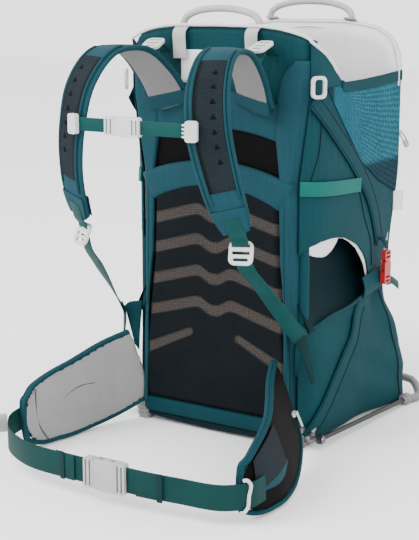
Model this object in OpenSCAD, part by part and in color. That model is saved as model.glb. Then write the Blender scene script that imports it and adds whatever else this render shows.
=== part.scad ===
// A framed backpack for carrying a child. The harness side faces -Y, +X is the wearer's right hand
// seen from behind the wearer's head, and the pack stands on Z = 0. All sizes are in millimetres.

/* [Frame] */
// Half the distance between the two upright tubes
frame_x = 150; // [140:1:158]
// Outside diameter of the frame tubes
tube_d = 13; // [10:0.5:14]
// Height at which the upright tubes meet the top arch
upright_top_z = 570; // [540:5:590]
// Height of the middle of the top rim
rim_z = 665; // [650:1:670]
// Distance from the harness face to the rear frame
cockpit_depth = 298; // [285:1:305]
// Height of the knee in the rear frame
knee_z = 250; // [235:1:260]
// Height of the fold axis above the ground
pivot_z = 17; // [16:0.5:19]
// Diameter of the fold pins
pin_d = 6; // [5:0.5:8]
// Radial running clearance of the arms and rods on the fold pins
running_gap = 0.06; // [0.02:0.01:0.1]

/* [Ground stand] */
// Distance from the harness face to the stand's hubs
hub_y = 303; // [295:1:310]
// Half the distance between the stand's hubs
hub_x = 202; // [200:1:206]
// Diameter of the stand's hubs
hub_d = 20; // [16:0.5:22]
// Diameter of the rear tube that stands on the ground
stand_tube_d = 14; // [12:0.5:16]

/* [Harness] */
// Width of a shoulder strap
strap_w = 62; // [50:1:66]
// Thickness of a shoulder strap
strap_t = 11; // [8:0.5:13]
// Width of the shoulder webbing
web_w = 25; // [20:1:25]
// Width of the hip belt webbing
hip_web_w = 38; // [30:1:40]
// Thickness of all webbing
web_t = 1.8; // [1.2:0.1:2.2]
// Distance from the harness face to the front of the hip belt
belt_reach = 358; // [350:1:365]
// Thickness of a hip belt pad
hip_pad_t = 15; // [12:1:18]

/* [Fabric] */
// Thickness of the fabric walls
cloth_t = 2.5; // [1.5:0.1:3]
// Half the width of the cockpit, outside its walls
side_x = 176; // [175:0.5:178]

/* [Hidden] */
$fn = 48;

tube_r = tube_d / 2;
pin_r = pin_d / 2;
tube_y = 16;                                  // centre of the main frame behind the harness face
rim_w = frame_x + 14;                         // half the width of the rim's outer edge
tube_drop = 15;                               // centre of the top tube below the rim's edge
stand_tube_r = stand_tube_d / 2;
stand_rear_y = cockpit_depth + 64;            // centre of the stand's rear tube
rear_edge_y = stand_rear_y + stand_tube_r;
face_y = (belt_reach - rear_edge_y) / 2;      // puts the origin under the middle of the whole part
front_fall = 0.55;                            // the front rim's corners are squarer than the rear's
arm_x = 165;                                  // the rear frame's arms run outside the uprights
arm_top_x = 156;                              // and draw in towards the top
knee_y = cockpit_depth - 12;
rod_x = 184;                                  // the stand's rods run outside the bag
lug_r = 9;                                    // pivot eyes of the rear frame's arms
lug_t = 9;
foot_x = frame_x - 3;                         // middle of a front foot, clear of the arm beside it
foot_y = tube_y - 4;
foot_w = 26;
foot_l = 39;
foot_h = 34;
buckle_y = -belt_reach + 7;                   // middle of the hip buckle
buckle_z = 45;
chest_y = -231;                               // middle of the chest buckle
chest_z = 526;
bag_front_y = 32;
yoke_front_y = -9;
part_gap = 0.4;                               // free space between pieces that move

function unit(v) = v / norm(v);

// One point on the smooth curve through p1 and p2, a Catmull-Rom curve
function blend_point(p0, p1, p2, p3, t) =
    ((2 * p1) + (p2 - p0) * t + (2 * p0 - 5 * p1 + 4 * p2 - p3) * t * t
     + (3 * p1 - p0 - 3 * p2 + p3) * t * t * t) / 2;
// The smooth curve through all stations, with some steps between each two
function smooth(s, steps) = [
    for (i = [0:len(s) - 2]) for (k = [0:steps - 1])
        blend_point(s[max(i - 1, 0)], s[i], s[i + 1], s[min(i + 2, len(s) - 1)], k / steps),
    s[len(s) - 1]];

// A flat band along stations [x, y, z, width direction x, y, z, width]
module band(stations, thickness, steps = 4) {
    s = smooth(stations, steps);
    n = len(s);
    place = [for (q = s) [q[0], q[1], q[2]]];
    across = [for (q = s) unit([q[3], q[4], q[5]])];
    along = [for (i = [0:n - 1]) unit(place[min(i + 1, n - 1)] - place[max(i - 1, 0)])];
    edge = min(0.3 * thickness, 3);
    ring = [[-1, -1, 0, 1], [1, -1, 0, 1], [1, -1, 1, 0], [1, 1, 1, 0],
            [1, 1, 0, 1], [-1, 1, 0, 1], [-1, 1, 1, 0], [-1, -1, 1, 0]];
    points = [for (i = [0:n - 1]) let (out = unit(cross(along[i], across[i])), w = s[i][6] / 2)
        for (c = ring) place[i] + across[i] * c[0] * (w - edge * c[3])
            + out * c[1] * (thickness / 2 - edge * c[2])];
    m = len(ring);
    faces = concat([[for (k = [0:m - 1]) k]], [[for (k = [m - 1:-1:0]) (n - 1) * m + k]],
        [for (i = [0:n - 2]) for (k = [0:m - 1]) let (a = i * m + k, b = i * m + (k + 1) % m)
            each [[a, a + m, b], [b, a + m, b + m]]]);
    polyhedron(points, faces, convexity = 8);
}

// Round bar from point a to point b
module rod(a, b, r) {
    d = b - a;
    translate(a) rotate([0, acos(d.z / norm(d)), atan2(d.y, d.x)]) cylinder(h = norm(d), r = r);
}

// Round bar swept along all points; side is a direction that no stretch of it runs along
module bent_rod(points, r, side) {
    n = len(points);
    sides = 20;
    rings = [for (i = [0:n - 1])
        let (along = unit(points[min(i + 1, n - 1)] - points[max(i - 1, 0)]),
            u = unit(side - (side * along) * along), v = cross(along, u))
        for (k = [0:sides - 1]) points[i] + r * (cos(360 * k / sides) * u + sin(360 * k / sides) * v)];
    faces = concat([[for (k = [0:sides - 1]) k]],
        [[for (k = [sides - 1:-1:0]) (n - 1) * sides + k]],
        [for (i = [0:n - 2]) for (k = [0:sides - 1])
            let (a = i * sides + k, b = i * sides + (k + 1) % sides)
            each [[a, a + sides, b], [b, a + sides, b + sides]]]);
    polyhedron(rings, faces, convexity = 8);
}

// Everything is drawn from the harness face and moved here to the part's origin
module at_face() { translate([0, face_y, 0]) children(); }
module left_side() { mirror([1, 0, 0]) children(); }

// Plate in the XZ plane, from y = low to y = high, from a drawing of x and z
module upright_plate(low, high) {
    translate([0, high, 0]) rotate([90, 0, 0]) linear_extrude(height = high - low) children();
}

// Plate in the YZ plane, from x = low to x = high, from a drawing of y and z
module side_plate(low, high) {
    translate([low, 0, 0]) rotate([90, 0, 90]) linear_extrude(height = high - low) children();
}

// Right half of the top rim in x and z, from the straight side to the middle; its edge lies inset
// inside the rim and drop below it, and fall stretches its round corner downwards
function half_rim(inset, drop, fall) = let (x = rim_w - inset, z = rim_z - drop)
    concat([[x, upright_top_z]], smooth([[x, upright_top_z + 4], [x, z - 64 * fall],
        [x - 9, z - 36 * fall], [x - 34, z - 16 * fall], [x - 84, z - 5 * fall], [0, z]], 3));
function whole_rim(inset, drop, fall) = let (half = half_rim(inset, drop, fall)) concat(
    half, [for (i = [len(half) - 2:-1:0]) [-half[i].x, half[i].y]]);

// Front view of the pack's back: straight sides under the rim
module back_outline(inset, low_z, drop, fall) {
    polygon(concat([[rim_w - inset, low_z]], whole_rim(inset, drop, fall),
        [[inset - rim_w, low_z]]));
}

// Front view of the foam back: narrower at the top, with a round top edge
module foam_outline() {
    intersection() {
        polygon([[-142, 42], [142, 42], [133, 420], [-133, 420]]);
        union() {
            translate([0, 250]) circle(r = 176, $fn = 96);
            translate([-150, 0]) square([300, 250]);
        }
    }
}

// Rounded square drawing
module soft_square(w, h, r) {
    offset(r = r, $fn = 24) square([w - 2 * r, h - 2 * r], center = true);
}

// ---- main frame ----
module upright_tube() {
    translate([frame_x, tube_y, 8]) cylinder(h = upright_top_z - 8, r = tube_r);
}
module frame_right_tube() color("silver") at_face() upright_tube();
module frame_left_tube() color("silver") at_face() left_side() upright_tube();

module top_tube(x, y, r, fall) {
    bent_rod([for (q = whole_rim(rim_w - x, tube_drop, fall)) [q.x, y, q.y]], r, [0, 1, 0]);
}
module frame_top_tube() color("silver") at_face() top_tube(frame_x, tube_y, tube_r, front_fall);

module frame_bottom_tube() color("silver") at_face() difference() {
    rod([-frame_x, tube_y, 62], [frame_x, tube_y, 62], tube_r - 1);
    for (side = [-1, 1]) translate([side * frame_x, tube_y, 0]) cylinder(h = 100, r = tube_r);
}

module frame_sheet() color("dimgray") at_face() upright_plate(6, 8.5) difference() {
    back_outline(rim_w - frame_x + 10, 36, tube_drop + 10, front_fall);
    for (z = [130, 250, 370]) translate([0, z]) soft_square(150, 60, 12);
}

module back_foam() color("darkslategray") at_face() upright_plate(-9, 5.5) difference() {
    foam_outline();
    for (z = [110, 190, 270, 330], side = [-1, 1]) translate([side * 45, z + 12])
        rotate(side * -18) soft_square(74, 9, 4);
}

module back_mesh() color("midnightblue") at_face() upright_plate(-11.2, -9.4) foam_outline();

module front_cover() color("teal") at_face() upright_plate(0, cloth_t)
    difference() {
        back_outline(0, 34, 0, front_fall);
        offset(delta = part_gap) foam_outline();
    }

module drool_pad() color("lightgray") at_face() translate([0, 34, 612])
    rotate([90, 0, 0]) linear_extrude(height = 14, center = true) soft_square(170, 66, 24);

// ---- feet and fold pins ----
module front_foot() {
    difference() {
        union() {
            translate([foot_x, foot_y, 0]) linear_extrude(height = foot_h)
                soft_square(foot_w - 3, foot_l - 3, 7);
            for (k = [1:4]) translate([foot_x, foot_y, 7 * k - 1])
                linear_extrude(height = 3) soft_square(foot_w, foot_l, 8);
        }
        translate([frame_x, tube_y, 8]) cylinder(h = 60, r = tube_r);
        translate([frame_x, tube_y, pivot_z]) rotate([0, 90, 0]) cylinder(h = 30, r = pin_r);
    }
}
module front_foot_right() color("gray") at_face() front_foot();
module front_foot_left() color("gray") at_face() left_side() front_foot();

module fold_pin() {
    translate([frame_x + tube_r, tube_y, pivot_z]) rotate([0, 90, 0])
        cylinder(h = rod_x + 6 - frame_x - tube_r, r = pin_r);
    translate([rod_x + 5, tube_y, pivot_z]) rotate([0, 90, 0]) cylinder(h = 2.5, r1 = 6, r2 = 4.5);
}
module fold_pins() color("dimgray") at_face() {
    fold_pin();
    left_side() fold_pin();
}

// ---- rear frame ----
module rear_tube() {
    difference() {
        union() {
            bent_rod(concat([[arm_x, tube_y + 4, pivot_z + 3.5]], smooth([
                [arm_top_x + 1, knee_y - 40, knee_z - 36], [arm_top_x, knee_y - 4, knee_z],
                [arm_top_x, cockpit_depth, knee_z + 50]], 4),
                [[arm_top_x, cockpit_depth, upright_top_z]]), tube_r - 1, [1, 0, 0]);
            translate([arm_x - lug_t / 2, tube_y, pivot_z]) rotate([0, 90, 0])
                cylinder(h = lug_t, r = lug_r);
        }
        translate([frame_x, tube_y, pivot_z]) rotate([0, 90, 0])
            cylinder(h = 60, r = pin_r + running_gap);
        for (x = [-20 - lug_t / 2, lug_t / 2]) translate([arm_x + x, tube_y - 20, 0]) cube([20, 40, 45]);
    }
}
module rear_right_tube() color("silver") at_face() rear_tube();
module rear_left_tube() color("silver") at_face() left_side() rear_tube();

module rear_top_tube() color("silver") at_face() top_tube(arm_top_x, cockpit_depth, tube_r - 1, 1);

module rear_panel() color("teal") at_face() upright_plate(cockpit_depth + 8, cockpit_depth + 12)
    back_outline(0, knee_z + 14, 1, 1);

module rear_lining() color("lightgray") at_face()
    upright_plate(cockpit_depth - 20, cockpit_depth - 8) back_outline(16, 300, 6, 1);

module child_harness() color("gray") at_face() for (side = [-1, 1])
    translate([side * 36, cockpit_depth - 27, 440]) rotate([90, 0, 0])
        linear_extrude(height = 10, center = true) soft_square(42, 170, 16);

module child_buckle() color("gainsboro") at_face() translate([0, cockpit_depth - 27, 430])
    rotate([90, 0, 0]) linear_extrude(height = 8, center = true) soft_square(28, 34, 6);

// ---- ground stand ----
module stand_rod() {
    difference() {
        union() {
            rod([rod_x, tube_y + 4, pivot_z - 0.2], [hub_x, hub_y - 6, hub_d / 2], 4);
            translate([rod_x - 3.5, tube_y, pivot_z]) rotate([0, 90, 0]) cylinder(h = 7, r = 8);
        }
        translate([rod_x - 20, tube_y, pivot_z]) rotate([0, 90, 0])
            cylinder(h = 50, r = pin_r + running_gap);
    }
}
module stand_rods() color("dimgray") at_face() {
    stand_rod();
    left_side() stand_rod();
}

module stand_hub() {
    difference() {
        union() {
            translate([hub_x, hub_y, hub_d / 2]) sphere(d = hub_d);
            for (k = [-1:1]) translate([hub_x, hub_y + 5 * k, hub_d / 2]) rotate([90, 0, 0])
                cylinder(h = 1.6, r = hub_d / 2, center = true);
        }
        rod([rod_x, tube_y + 4, pivot_z - 0.2], [hub_x, hub_y - 6, hub_d / 2], 4);
        bent_rod(smooth(stand_corner, 3), stand_tube_r, [0, 0, 1]);
    }
}
module stand_hubs() color("gray") at_face() {
    stand_hub();
    left_side() stand_hub();
}

stand_corner = [[hub_x, hub_y + 4, hub_d / 2], [hub_x + 8, hub_y + 24, stand_tube_r + 0.5],
    [hub_x + 6, hub_y + 44, stand_tube_r + 3], [hub_x - 14, stand_rear_y, 28],
    [hub_x - 50, stand_rear_y, 30]];
module stand_rear_tube() color("darkgray") at_face() bent_rod(concat(
    [for (q = smooth(stand_corner, 3)) [-q.x, q.y, q.z]],
    [for (i = [12:-1:0]) smooth(stand_corner, 3)[i]]), stand_tube_r, [0, 0, 1]);

// ---- fabric body ----
// Side wall of the cockpit, from the harness face to the rear frame, with its leg opening
module side_wall() {
    side_plate(side_x - cloth_t, side_x) difference() {
        polygon([[4, 176], [4, 636], [36, 621], [60, 606], [90, 577], [cockpit_depth + 6, 582],
            [cockpit_depth + 6, knee_z + 4], [226, 240]]);
        polygon(concat([[12, 188]], [[214, 238]],
            [for (a = [0:15:180]) [112 + 102 * cos(a), 246 + 88 * sin(a)]]));
        hull() {
            for (q = [[92, 548], [cockpit_depth - 24, 548], [cockpit_depth - 24, 410], [222, 422]])
                translate(q) circle(r = 10);
        }
    }
}
module side_panel_right() color("teal") at_face() side_wall();
module side_panel_left() color("teal") at_face() left_side() side_wall();

// The block that fills the bag, drawn in by inset on every side but the front
module bag_block(inset, over) {
    w = side_x - inset;
    hull() {
        translate([-w + 2, bag_front_y - over, 6 + inset]) cube([2 * w - 4, 1, 160 + over]);
        translate([-w + 1, cockpit_depth - 1, knee_z - 12]) cube([2 * w - 2, 1, 2 + over]);
        translate([-w - 12, stand_rear_y - stand_tube_r - 14 - inset, 12 + inset])
            cube([2 * w + 24, 1, 108 - inset]);
    }
}
module storage_bag() color("teal") at_face() difference() {
    bag_block(0, 0);
    bag_block(cloth_t, 20);
    translate([0, stand_rear_y, 28]) rotate([0, 90, 0])
        cylinder(h = 500, r = stand_tube_r + 1, center = true);
}

module side_hook() {
    translate([rim_w + 14, 2, 575]) rotate([90, 0, 60]) linear_extrude(height = 4, center = true)
        difference() {
            soft_square(26, 34, 8);
            soft_square(16, 24, 5);
        }
}
module side_hooks() color("white") at_face() {
    side_hook();
    left_side() side_hook();
}

module grab_handle(y, foot_x, foot_z, top_z) {
    bent_rod(smooth([[-foot_x, y, foot_z], [-foot_x + 12, y, top_z - 14], [-foot_x / 2, y, top_z - 6],
        [foot_x / 2, y, top_z - 6], [foot_x - 12, y, top_z - 14], [foot_x, y, foot_z]], 4),
        6, [0, 1, 0]);
}
module front_handle() color("lightgray") at_face() grab_handle(10, 70, 664, 692);
module rear_handle() color("lightgray") at_face() grab_handle(cockpit_depth + 6, 82, 668, 699);

// ---- child seat ----
module child_seat() color("slategray") at_face() translate([0, 0, 214]) difference() {
    hull() {
        translate([-70, 26, -8]) cube([140, 10, 14]);
        translate([-88, 150, -8]) cube([176, 30, 16]);
    }
    translate([0, 110, 22]) rotate([90, 0, 0]) scale([1, 0.28, 1]) cylinder(h = 240, r = 66,
        center = true);
}

// ---- buckles ----
// Side-release buckle along X: the plug goes in towards +X. w is the webbing's width
socket_wall = 2;
function buckle_t(w) = 0.16 * w + 6;
function buckle_l(w) = 0.6 * w + 16;
module web_slots(x, w) {
    for (k = [0, 1]) translate([x + 7 * k, 0, 0]) cube([3, 30, w + 1], center = true);
}
module buckle_socket(w) {
    l = buckle_l(w);
    t = buckle_t(w);
    difference() {
        rotate([90, 0, 0]) linear_extrude(height = t, center = true)
            translate([l / 2 + 7.5, 0]) soft_square(l + 15, w + 9, 5);
        translate([-1, -t / 2 + socket_wall, -w]) cube([l - 4, t - 2 * socket_wall, 2 * w]);
        web_slots(l + 3, w);
    }
}
module buckle_plug(w) {
    l = buckle_l(w);
    t = buckle_t(w);
    difference() {
        union() {
            rotate([90, 0, 0]) linear_extrude(height = t, center = true)
                translate([-9.5, 0]) soft_square(18, w + 7, 4);
            translate([-4, 1.5 - t / 4, -0.14 * w]) cube([l - 4, t / 2 - 3, 0.28 * w]);
        }
        web_slots(-14, w);
    }
}
// One of the plug's two spring arms; side is 1 for the upper arm and -1 for the lower one
module buckle_prong(w, side) {
    l = buckle_l(w);
    t = buckle_t(w) - 2 * socket_wall - 1;
    inner = side * 0.3 * w;
    rotate([90, 0, 0]) linear_extrude(height = t, center = true) polygon([
        [part_gap, inner], [part_gap, inner + side * 0.1 * w], [0.35 * l, inner + side * 0.13 * w],
        [0.42 * l, inner + side * (0.2 * w + 5)], [0.72 * l, inner + side * (0.2 * w + 3)],
        [l - 8, inner + side * 0.04 * w], [l - 8, inner - side * 0.04 * w],
        [0.5 * l, inner + side * 0.02 * w]]);
}

belt_buckle_x = 16;
module at_hip_buckle() { at_face() translate([belt_buckle_x, buckle_y, buckle_z]) children(); }
module hip_buckle_socket() color("silver") at_hip_buckle() buckle_socket(hip_web_w);
module hip_buckle_plug() color("silver") at_hip_buckle() buckle_plug(hip_web_w);
module hip_prong_upper() color("silver") at_hip_buckle() buckle_prong(hip_web_w, 1);
module hip_prong_lower() color("silver") at_hip_buckle() buckle_prong(hip_web_w, -1);

chest_buckle_x = -28;
chest_web_w = 20;
module at_chest_buckle() { at_face() translate([chest_buckle_x, chest_y, chest_z]) children(); }
module sternum_buckle_socket() color("white") at_chest_buckle() buckle_socket(chest_web_w);
module sternum_buckle_plug() color("white") at_chest_buckle() buckle_plug(chest_web_w);
module sternum_prong_upper() color("white") at_chest_buckle() buckle_prong(chest_web_w, 1);
module sternum_prong_lower() color("white") at_chest_buckle() buckle_prong(chest_web_w, -1);

// Red buckles that cinch the folded frame; each hangs on the side wall by its strap
module at_red_buckle() {
    at_face() translate([side_x + 8, cockpit_depth - 53, 268]) rotate([0, 90, 0]) rotate([90, 0, 0])
        children();
}
red_web_w = 14;
module red_buckle_right() color("crimson") at_red_buckle() buckle_socket(red_web_w);
module red_plug_right() color("crimson") at_red_buckle() buckle_plug(red_web_w);
module red_buckle_left() color("crimson") left_side() at_red_buckle() buckle_socket(red_web_w);
module red_plug_left() color("crimson") left_side() at_red_buckle() buckle_plug(red_web_w);

// ---- hip belt ----
// The right pad's top leans in over the hip and its tip curls in; the left pad stands straighter
right_pad = [[134, -17, 98, -31, -14, 113, 116], [164, -68, 86, -38, -24, 109, 120],
    [196, -128, 71, -34, -34, 119, 124], [222, -188, 61, -32, -22, 117, 116],
    [234, -240, 55, -24, -18, 105, 104], [233, -284, 50, -10, -12, 89, 84],
    [226, -304, 50, -4, -8, 70, 64]];
left_pad = [[148, -9, 100, 0, 0, 1, 124], [174, -60, 80, 0.02, 0, 1, 132],
    [192, -118, 65, 0.1, -0.03, 1, 122], [203, -178, 57, 0.16, -0.02, 1, 108],
    [210, -218, 50, 0.14, 0, 1, 88], [211, -240, 50, 0.1, 0, 1, 62]];
module hip_pad_right() color("gray") at_face() band(right_pad, hip_pad_t);
module hip_pad_left() color("gray") at_face() left_side() band(left_pad, hip_pad_t);

module belt_webbing(start, end_x) {
    band([for (q = concat(start, [[end_x + 14, buckle_y, buckle_z], [end_x, buckle_y, buckle_z]]))
        [q.x, q.y, q.z, 0, 0, 1, hip_web_w]], web_t);
}
socket_end_x = belt_buckle_x + buckle_l(hip_web_w) + 15;
plug_end_x = 19 - belt_buckle_x;
module hip_webbing_right() color("teal") at_face() belt_webbing([[247, -268, 44], [243, -298, 42],
    [222, -325, 42], [150, -342, 43]], socket_end_x + part_gap);
module hip_webbing_left() color("teal") at_face() left_side() belt_webbing([[224, -226, 50],
    [217, -264, 48], [190, -302, 45], [134, -336, 44]], plug_end_x + part_gap);

module at_zip() { at_face() translate([178, -61, 80]) rotate([0, -22, 25]) children(); }
module pocket_zip_slider() color("white") at_zip() cube([5, 12, 7], center = true);
module pocket_zip_pull() color("white") at_zip() translate([5, 0, -10]) rotate([90, 0, 90])
    linear_extrude(height = 2, center = true) difference() {
        soft_square(8, 26, 3);
        translate([0, 6]) soft_square(4, 8, 1.5);
    }

// ---- shoulder harness ----
module yoke_plate() color("teal") at_face() upright_plate(yoke_front_y, -2.5) {
    translate([0, 525]) soft_square(236, 74, 22);
}

strap_path = [[80, -14, 541, 1, 0, 0.15, 58], [86, -48, 588, 1, 0, 0.1, 60],
    [93, -104, 629, 1, 0, 0, strap_w - 4], [102, -164, 625, 1, 0.1, 0, strap_w - 4],
    [112, -204, 580, 1, 0.25, 0, strap_w], [120, -214, 526, 1, 0.34, 0, strap_w],
    [131, -206, 462, 1, 0.4, 0, strap_w - 4], [139, -184, 402, 1, 0.4, 0, strap_w - 12],
    [142, -168, 374, 1, 0.4, 0, 40]];
module shoulder_strap_right() color("teal") at_face() band(strap_path, strap_t);
module shoulder_strap_left() color("teal") at_face() left_side() band(strap_path, strap_t);

// Two-bar strap adjuster: w is the webbing's width
module ladder_lock(w) {
    rotate([90, 0, 0]) linear_extrude(height = 4, center = true) difference() {
        translate([0, -6]) soft_square(w + 11, 36, 9);
        for (k = [0, 1]) translate([0, 5 - 11 * k]) square([w + 1, 5], center = true);
        translate([0, -16]) soft_square(w - 3, 5, 2);
    }
}
module at_ladder_lock() {
    at_face() translate([143, -163, 352]) rotate([-24, 0, 22]) children();
}
module ladder_lock_right() color("white") at_ladder_lock() ladder_lock(web_w);
module ladder_lock_left() color("white") left_side() at_ladder_lock() ladder_lock(web_w);

shoulder_run = [[144, -155, 328, 1, 0.4, 0, web_w], [150, -120, 290, 1, 0.3, 0, web_w],
    [160, -70, 236, 0.8, 0.5, 0.2, web_w], [171, -22, 188, 0.5, 0.6, 0.5, web_w]];
shoulder_tail = [[178, -6, 174, 0.3, 1, 0.1, web_w], [182, -6, 144, 0.3, 1, 0, web_w],
    [184, -7, 112, 0.3, 1, 0, web_w]];
module shoulder_webs() {
    band(shoulder_run, web_t);
    band(shoulder_tail, web_t);
}
module shoulder_webbing_right() color("darkcyan") at_face() shoulder_webs();
module shoulder_webbing_left() color("darkcyan") at_face() left_side() shoulder_webs();

module at_load_lifter() {
    at_face() translate([99, -30, 637]) rotate([-68, 0, -8]) children();
}
lifter_web_w = 20;
module load_lifter_right() color("white") at_load_lifter() ladder_lock(lifter_web_w);
module load_lifter_left() color("white") left_side() at_load_lifter() ladder_lock(lifter_web_w);

module lifter_web() {
    band([for (q = [[99, -4, 626], [99, -12, 631]]) [q.x, q.y, q.z, 1, 0, 0, lifter_web_w]], web_t);
}
module load_lifter_webbing() color("darkcyan") at_face() {
    lifter_web();
    left_side() lifter_web();
}

// ---- chest strap ----
clip_x = 104;
module rail_clip() {
    translate([clip_x, chest_y - 3, chest_z]) rotate([90, 0, 14])
        linear_extrude(height = 7, center = true) soft_square(18, 30, 4);
}
module sternum_clips() color("white") at_face() {
    rail_clip();
    left_side() rail_clip();
}
chest_socket_end = chest_buckle_x + buckle_l(chest_web_w) + 15;
chest_plug_end = chest_buckle_x - 19;
module chest_web(x0, x1) {
    translate([x0, chest_y - web_t / 2, chest_z - chest_web_w / 2]) cube([x1 - x0, web_t, chest_web_w]);
}
module sternum_webbing_right() color("darkcyan") at_face()
    chest_web(chest_socket_end + part_gap, clip_x - 12);
module sternum_webbing_left() color("darkcyan") at_face()
    chest_web(12 - clip_x, chest_plug_end - part_gap);

frame_left_tube();
frame_right_tube();
frame_top_tube();
frame_bottom_tube();
frame_sheet();
back_foam();
back_mesh();
front_cover();
drool_pad();
front_foot_left();
front_foot_right();
fold_pins();
side_panel_left();
side_panel_right();
storage_bag();
side_hooks();
front_handle();
hip_pad_left();
hip_pad_right();
hip_webbing_left();
hip_webbing_right();
hip_buckle_socket();
hip_buckle_plug();
hip_prong_upper();
hip_prong_lower();
pocket_zip_slider();
pocket_zip_pull();
yoke_plate();
shoulder_strap_left();
shoulder_strap_right();
ladder_lock_left();
ladder_lock_right();
shoulder_webbing_left();
shoulder_webbing_right();
load_lifter_left();
load_lifter_right();
load_lifter_webbing();
sternum_clips();
sternum_webbing_left();
sternum_webbing_right();
sternum_buckle_socket();
sternum_buckle_plug();
sternum_prong_upper();
sternum_prong_lower();
rear_left_tube();
rear_right_tube();
rear_top_tube();
rear_panel();
rear_lining();
child_harness();
child_buckle();
rear_handle();
red_buckle_left();
red_buckle_right();
red_plug_left();
red_plug_right();
stand_rods();
stand_hubs();
stand_rear_tube();
child_seat();
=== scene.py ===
import math
import bpy
import numpy as np
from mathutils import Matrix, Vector


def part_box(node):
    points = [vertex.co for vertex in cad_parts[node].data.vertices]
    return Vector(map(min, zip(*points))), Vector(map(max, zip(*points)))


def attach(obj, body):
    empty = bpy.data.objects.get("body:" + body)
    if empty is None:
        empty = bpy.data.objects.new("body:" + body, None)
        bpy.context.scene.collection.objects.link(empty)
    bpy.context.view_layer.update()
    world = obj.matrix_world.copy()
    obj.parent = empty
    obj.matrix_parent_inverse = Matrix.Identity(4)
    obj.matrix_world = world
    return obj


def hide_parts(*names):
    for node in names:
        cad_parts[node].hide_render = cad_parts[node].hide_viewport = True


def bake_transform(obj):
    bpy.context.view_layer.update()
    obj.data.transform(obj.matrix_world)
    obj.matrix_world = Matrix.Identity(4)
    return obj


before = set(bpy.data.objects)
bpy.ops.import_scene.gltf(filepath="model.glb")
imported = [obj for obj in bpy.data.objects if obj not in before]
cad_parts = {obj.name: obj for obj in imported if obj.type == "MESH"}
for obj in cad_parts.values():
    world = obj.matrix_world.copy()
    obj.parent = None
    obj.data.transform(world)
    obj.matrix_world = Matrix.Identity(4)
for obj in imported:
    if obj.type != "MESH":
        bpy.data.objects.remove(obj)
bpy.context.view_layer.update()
print("frame loaded:", len(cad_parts), "CAD nodes")

# places, from the frame
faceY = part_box("front_cover")[0].y * 1000        # harness face, in millimetres
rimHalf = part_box("front_cover")[1].x * 1000      # half the width of the rim
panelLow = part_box("back_mesh")[0].z * 1000       # the mesh back's lower and upper edge
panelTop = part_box("back_mesh")[1].z * 1000
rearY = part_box("rear_panel")[1].y * 1000 - faceY  # rear wall, behind the harness face


def place(points):
    # Millimetres from the harness face, turned to the frame's metres.
    return (np.asarray(points, float) + np.array([0, faceY, 0])) / 1000


# curves and meshes
def hermite(t, a, b, da, db):
    # cubic from a to b with slopes da and db
    return ((2 * t**3 - 3 * t**2 + 1) * a + (t**3 - 2 * t**2 + t) * da
            + (3 * t**2 - 2 * t**3) * b + (t**3 - t**2) * db)


def smoothLine(points, count):
    # Catmull-Rom curve through all points: a cubic between each two, evenly spaced by their chords
    p = np.asarray(points, float)
    chord = np.r_[0, np.cumsum(np.linalg.norm(np.diff(p[:, :3], axis=0), axis=1))]
    q = np.linspace(0, chord[-1], count)
    i = np.clip(np.searchsorted(chord, q, side="right") - 1, 0, len(p) - 2)
    h = (chord[i + 1] - chord[i])[:, None]
    t = ((q - chord[i])[:, None]) / h
    slope = np.gradient(p, chord, axis=0)
    a, b = p[i], p[i + 1]
    da, db = slope[i] * h, slope[i + 1] * h
    return hermite(t, a, b, da, db)


def unitRows(v):
    return v / np.maximum(np.linalg.norm(v, axis=-1, keepdims=True), 1e-12)


def step(x, low, high):
    # 0 below low, 1 above high, and 3t^2 - 2t^3 between
    t = np.clip((x - low) / (high - low), 0, 1)
    return t * t * (3 - 2 * t)


def bump(x, middle, half):
    # 1 at the middle, falling smoothly to 0 at half on both sides
    return step(half - np.abs(x - middle), 0, half)


def meshPiece(name, points, faces, materials, body=None, side=1, replaces=(), slot=None, uv=None,
              faceSlots=None, masks=None):
    # A mesh from points in millimetres. side = -1 mirrors it to the left and turns its faces over. A body
    # lets it ride that body, and masks are numbers at its points, which its material reads.
    points = place(np.asarray(points, float).reshape(-1, 3) * np.array([side, 1, 1]))
    mesh = bpy.data.meshes.new(name)
    mesh.from_pydata(points.tolist(), [], [list(f)[::side] for f in faces])
    if uv is not None:
        layer = mesh.uv_layers.new(name="weave")
        loops = np.zeros(len(mesh.loops), np.int32)
        mesh.loops.foreach_get("vertex_index", loops)
        layer.data.foreach_set("uv", np.asarray(uv, np.float32)[loops].ravel())
    for m in materials if isinstance(materials, (list, tuple)) else [materials]:
        mesh.materials.append(m)
    if faceSlots is not None:
        mesh.polygons.foreach_set("material_index", np.asarray(faceSlots, np.int32))
    mesh.polygons.foreach_set("use_smooth", np.full(len(mesh.polygons), True))
    mesh.update()
    for key, values in (masks or {}).items():
        mask = mesh.attributes.new(key, "FLOAT", "POINT")
        mask.data.foreach_set("value", np.asarray(values, np.float32).ravel())
    piece = bpy.data.objects.new(name, mesh)
    bpy.context.scene.collection.objects.link(piece)
    if body:
        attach(piece, body)
    if replaces:
        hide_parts(*replaces)
    return piece


def gridFaces(rows, cols, around=False):
    # one quad for each cell of a rows x cols grid of points; around joins the last column to the first
    i, j = np.meshgrid(np.arange(rows - 1), np.arange(cols if around else cols - 1), indexing="ij")
    a, b = i * cols + j, i * cols + (j + 1) % cols
    return np.stack([a, b, b + cols, a + cols], -1).reshape(-1, 4)


def gridUv(grid):
    # distance along the rows from the middle, and down the middle column, in metres
    down = np.r_[0, np.cumsum(np.linalg.norm(np.diff(grid[:, grid.shape[1] // 2], axis=0), axis=1))]
    across = np.cumsum(np.linalg.norm(np.diff(grid, axis=1), axis=2), axis=1)
    across = np.concatenate([np.zeros((len(grid), 1)), across], 1)
    across = across - across[:, -1:] / 2
    return np.stack([across, np.broadcast_to(down[:, None], across.shape)], -1).reshape(-1, 2) / 1000


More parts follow.
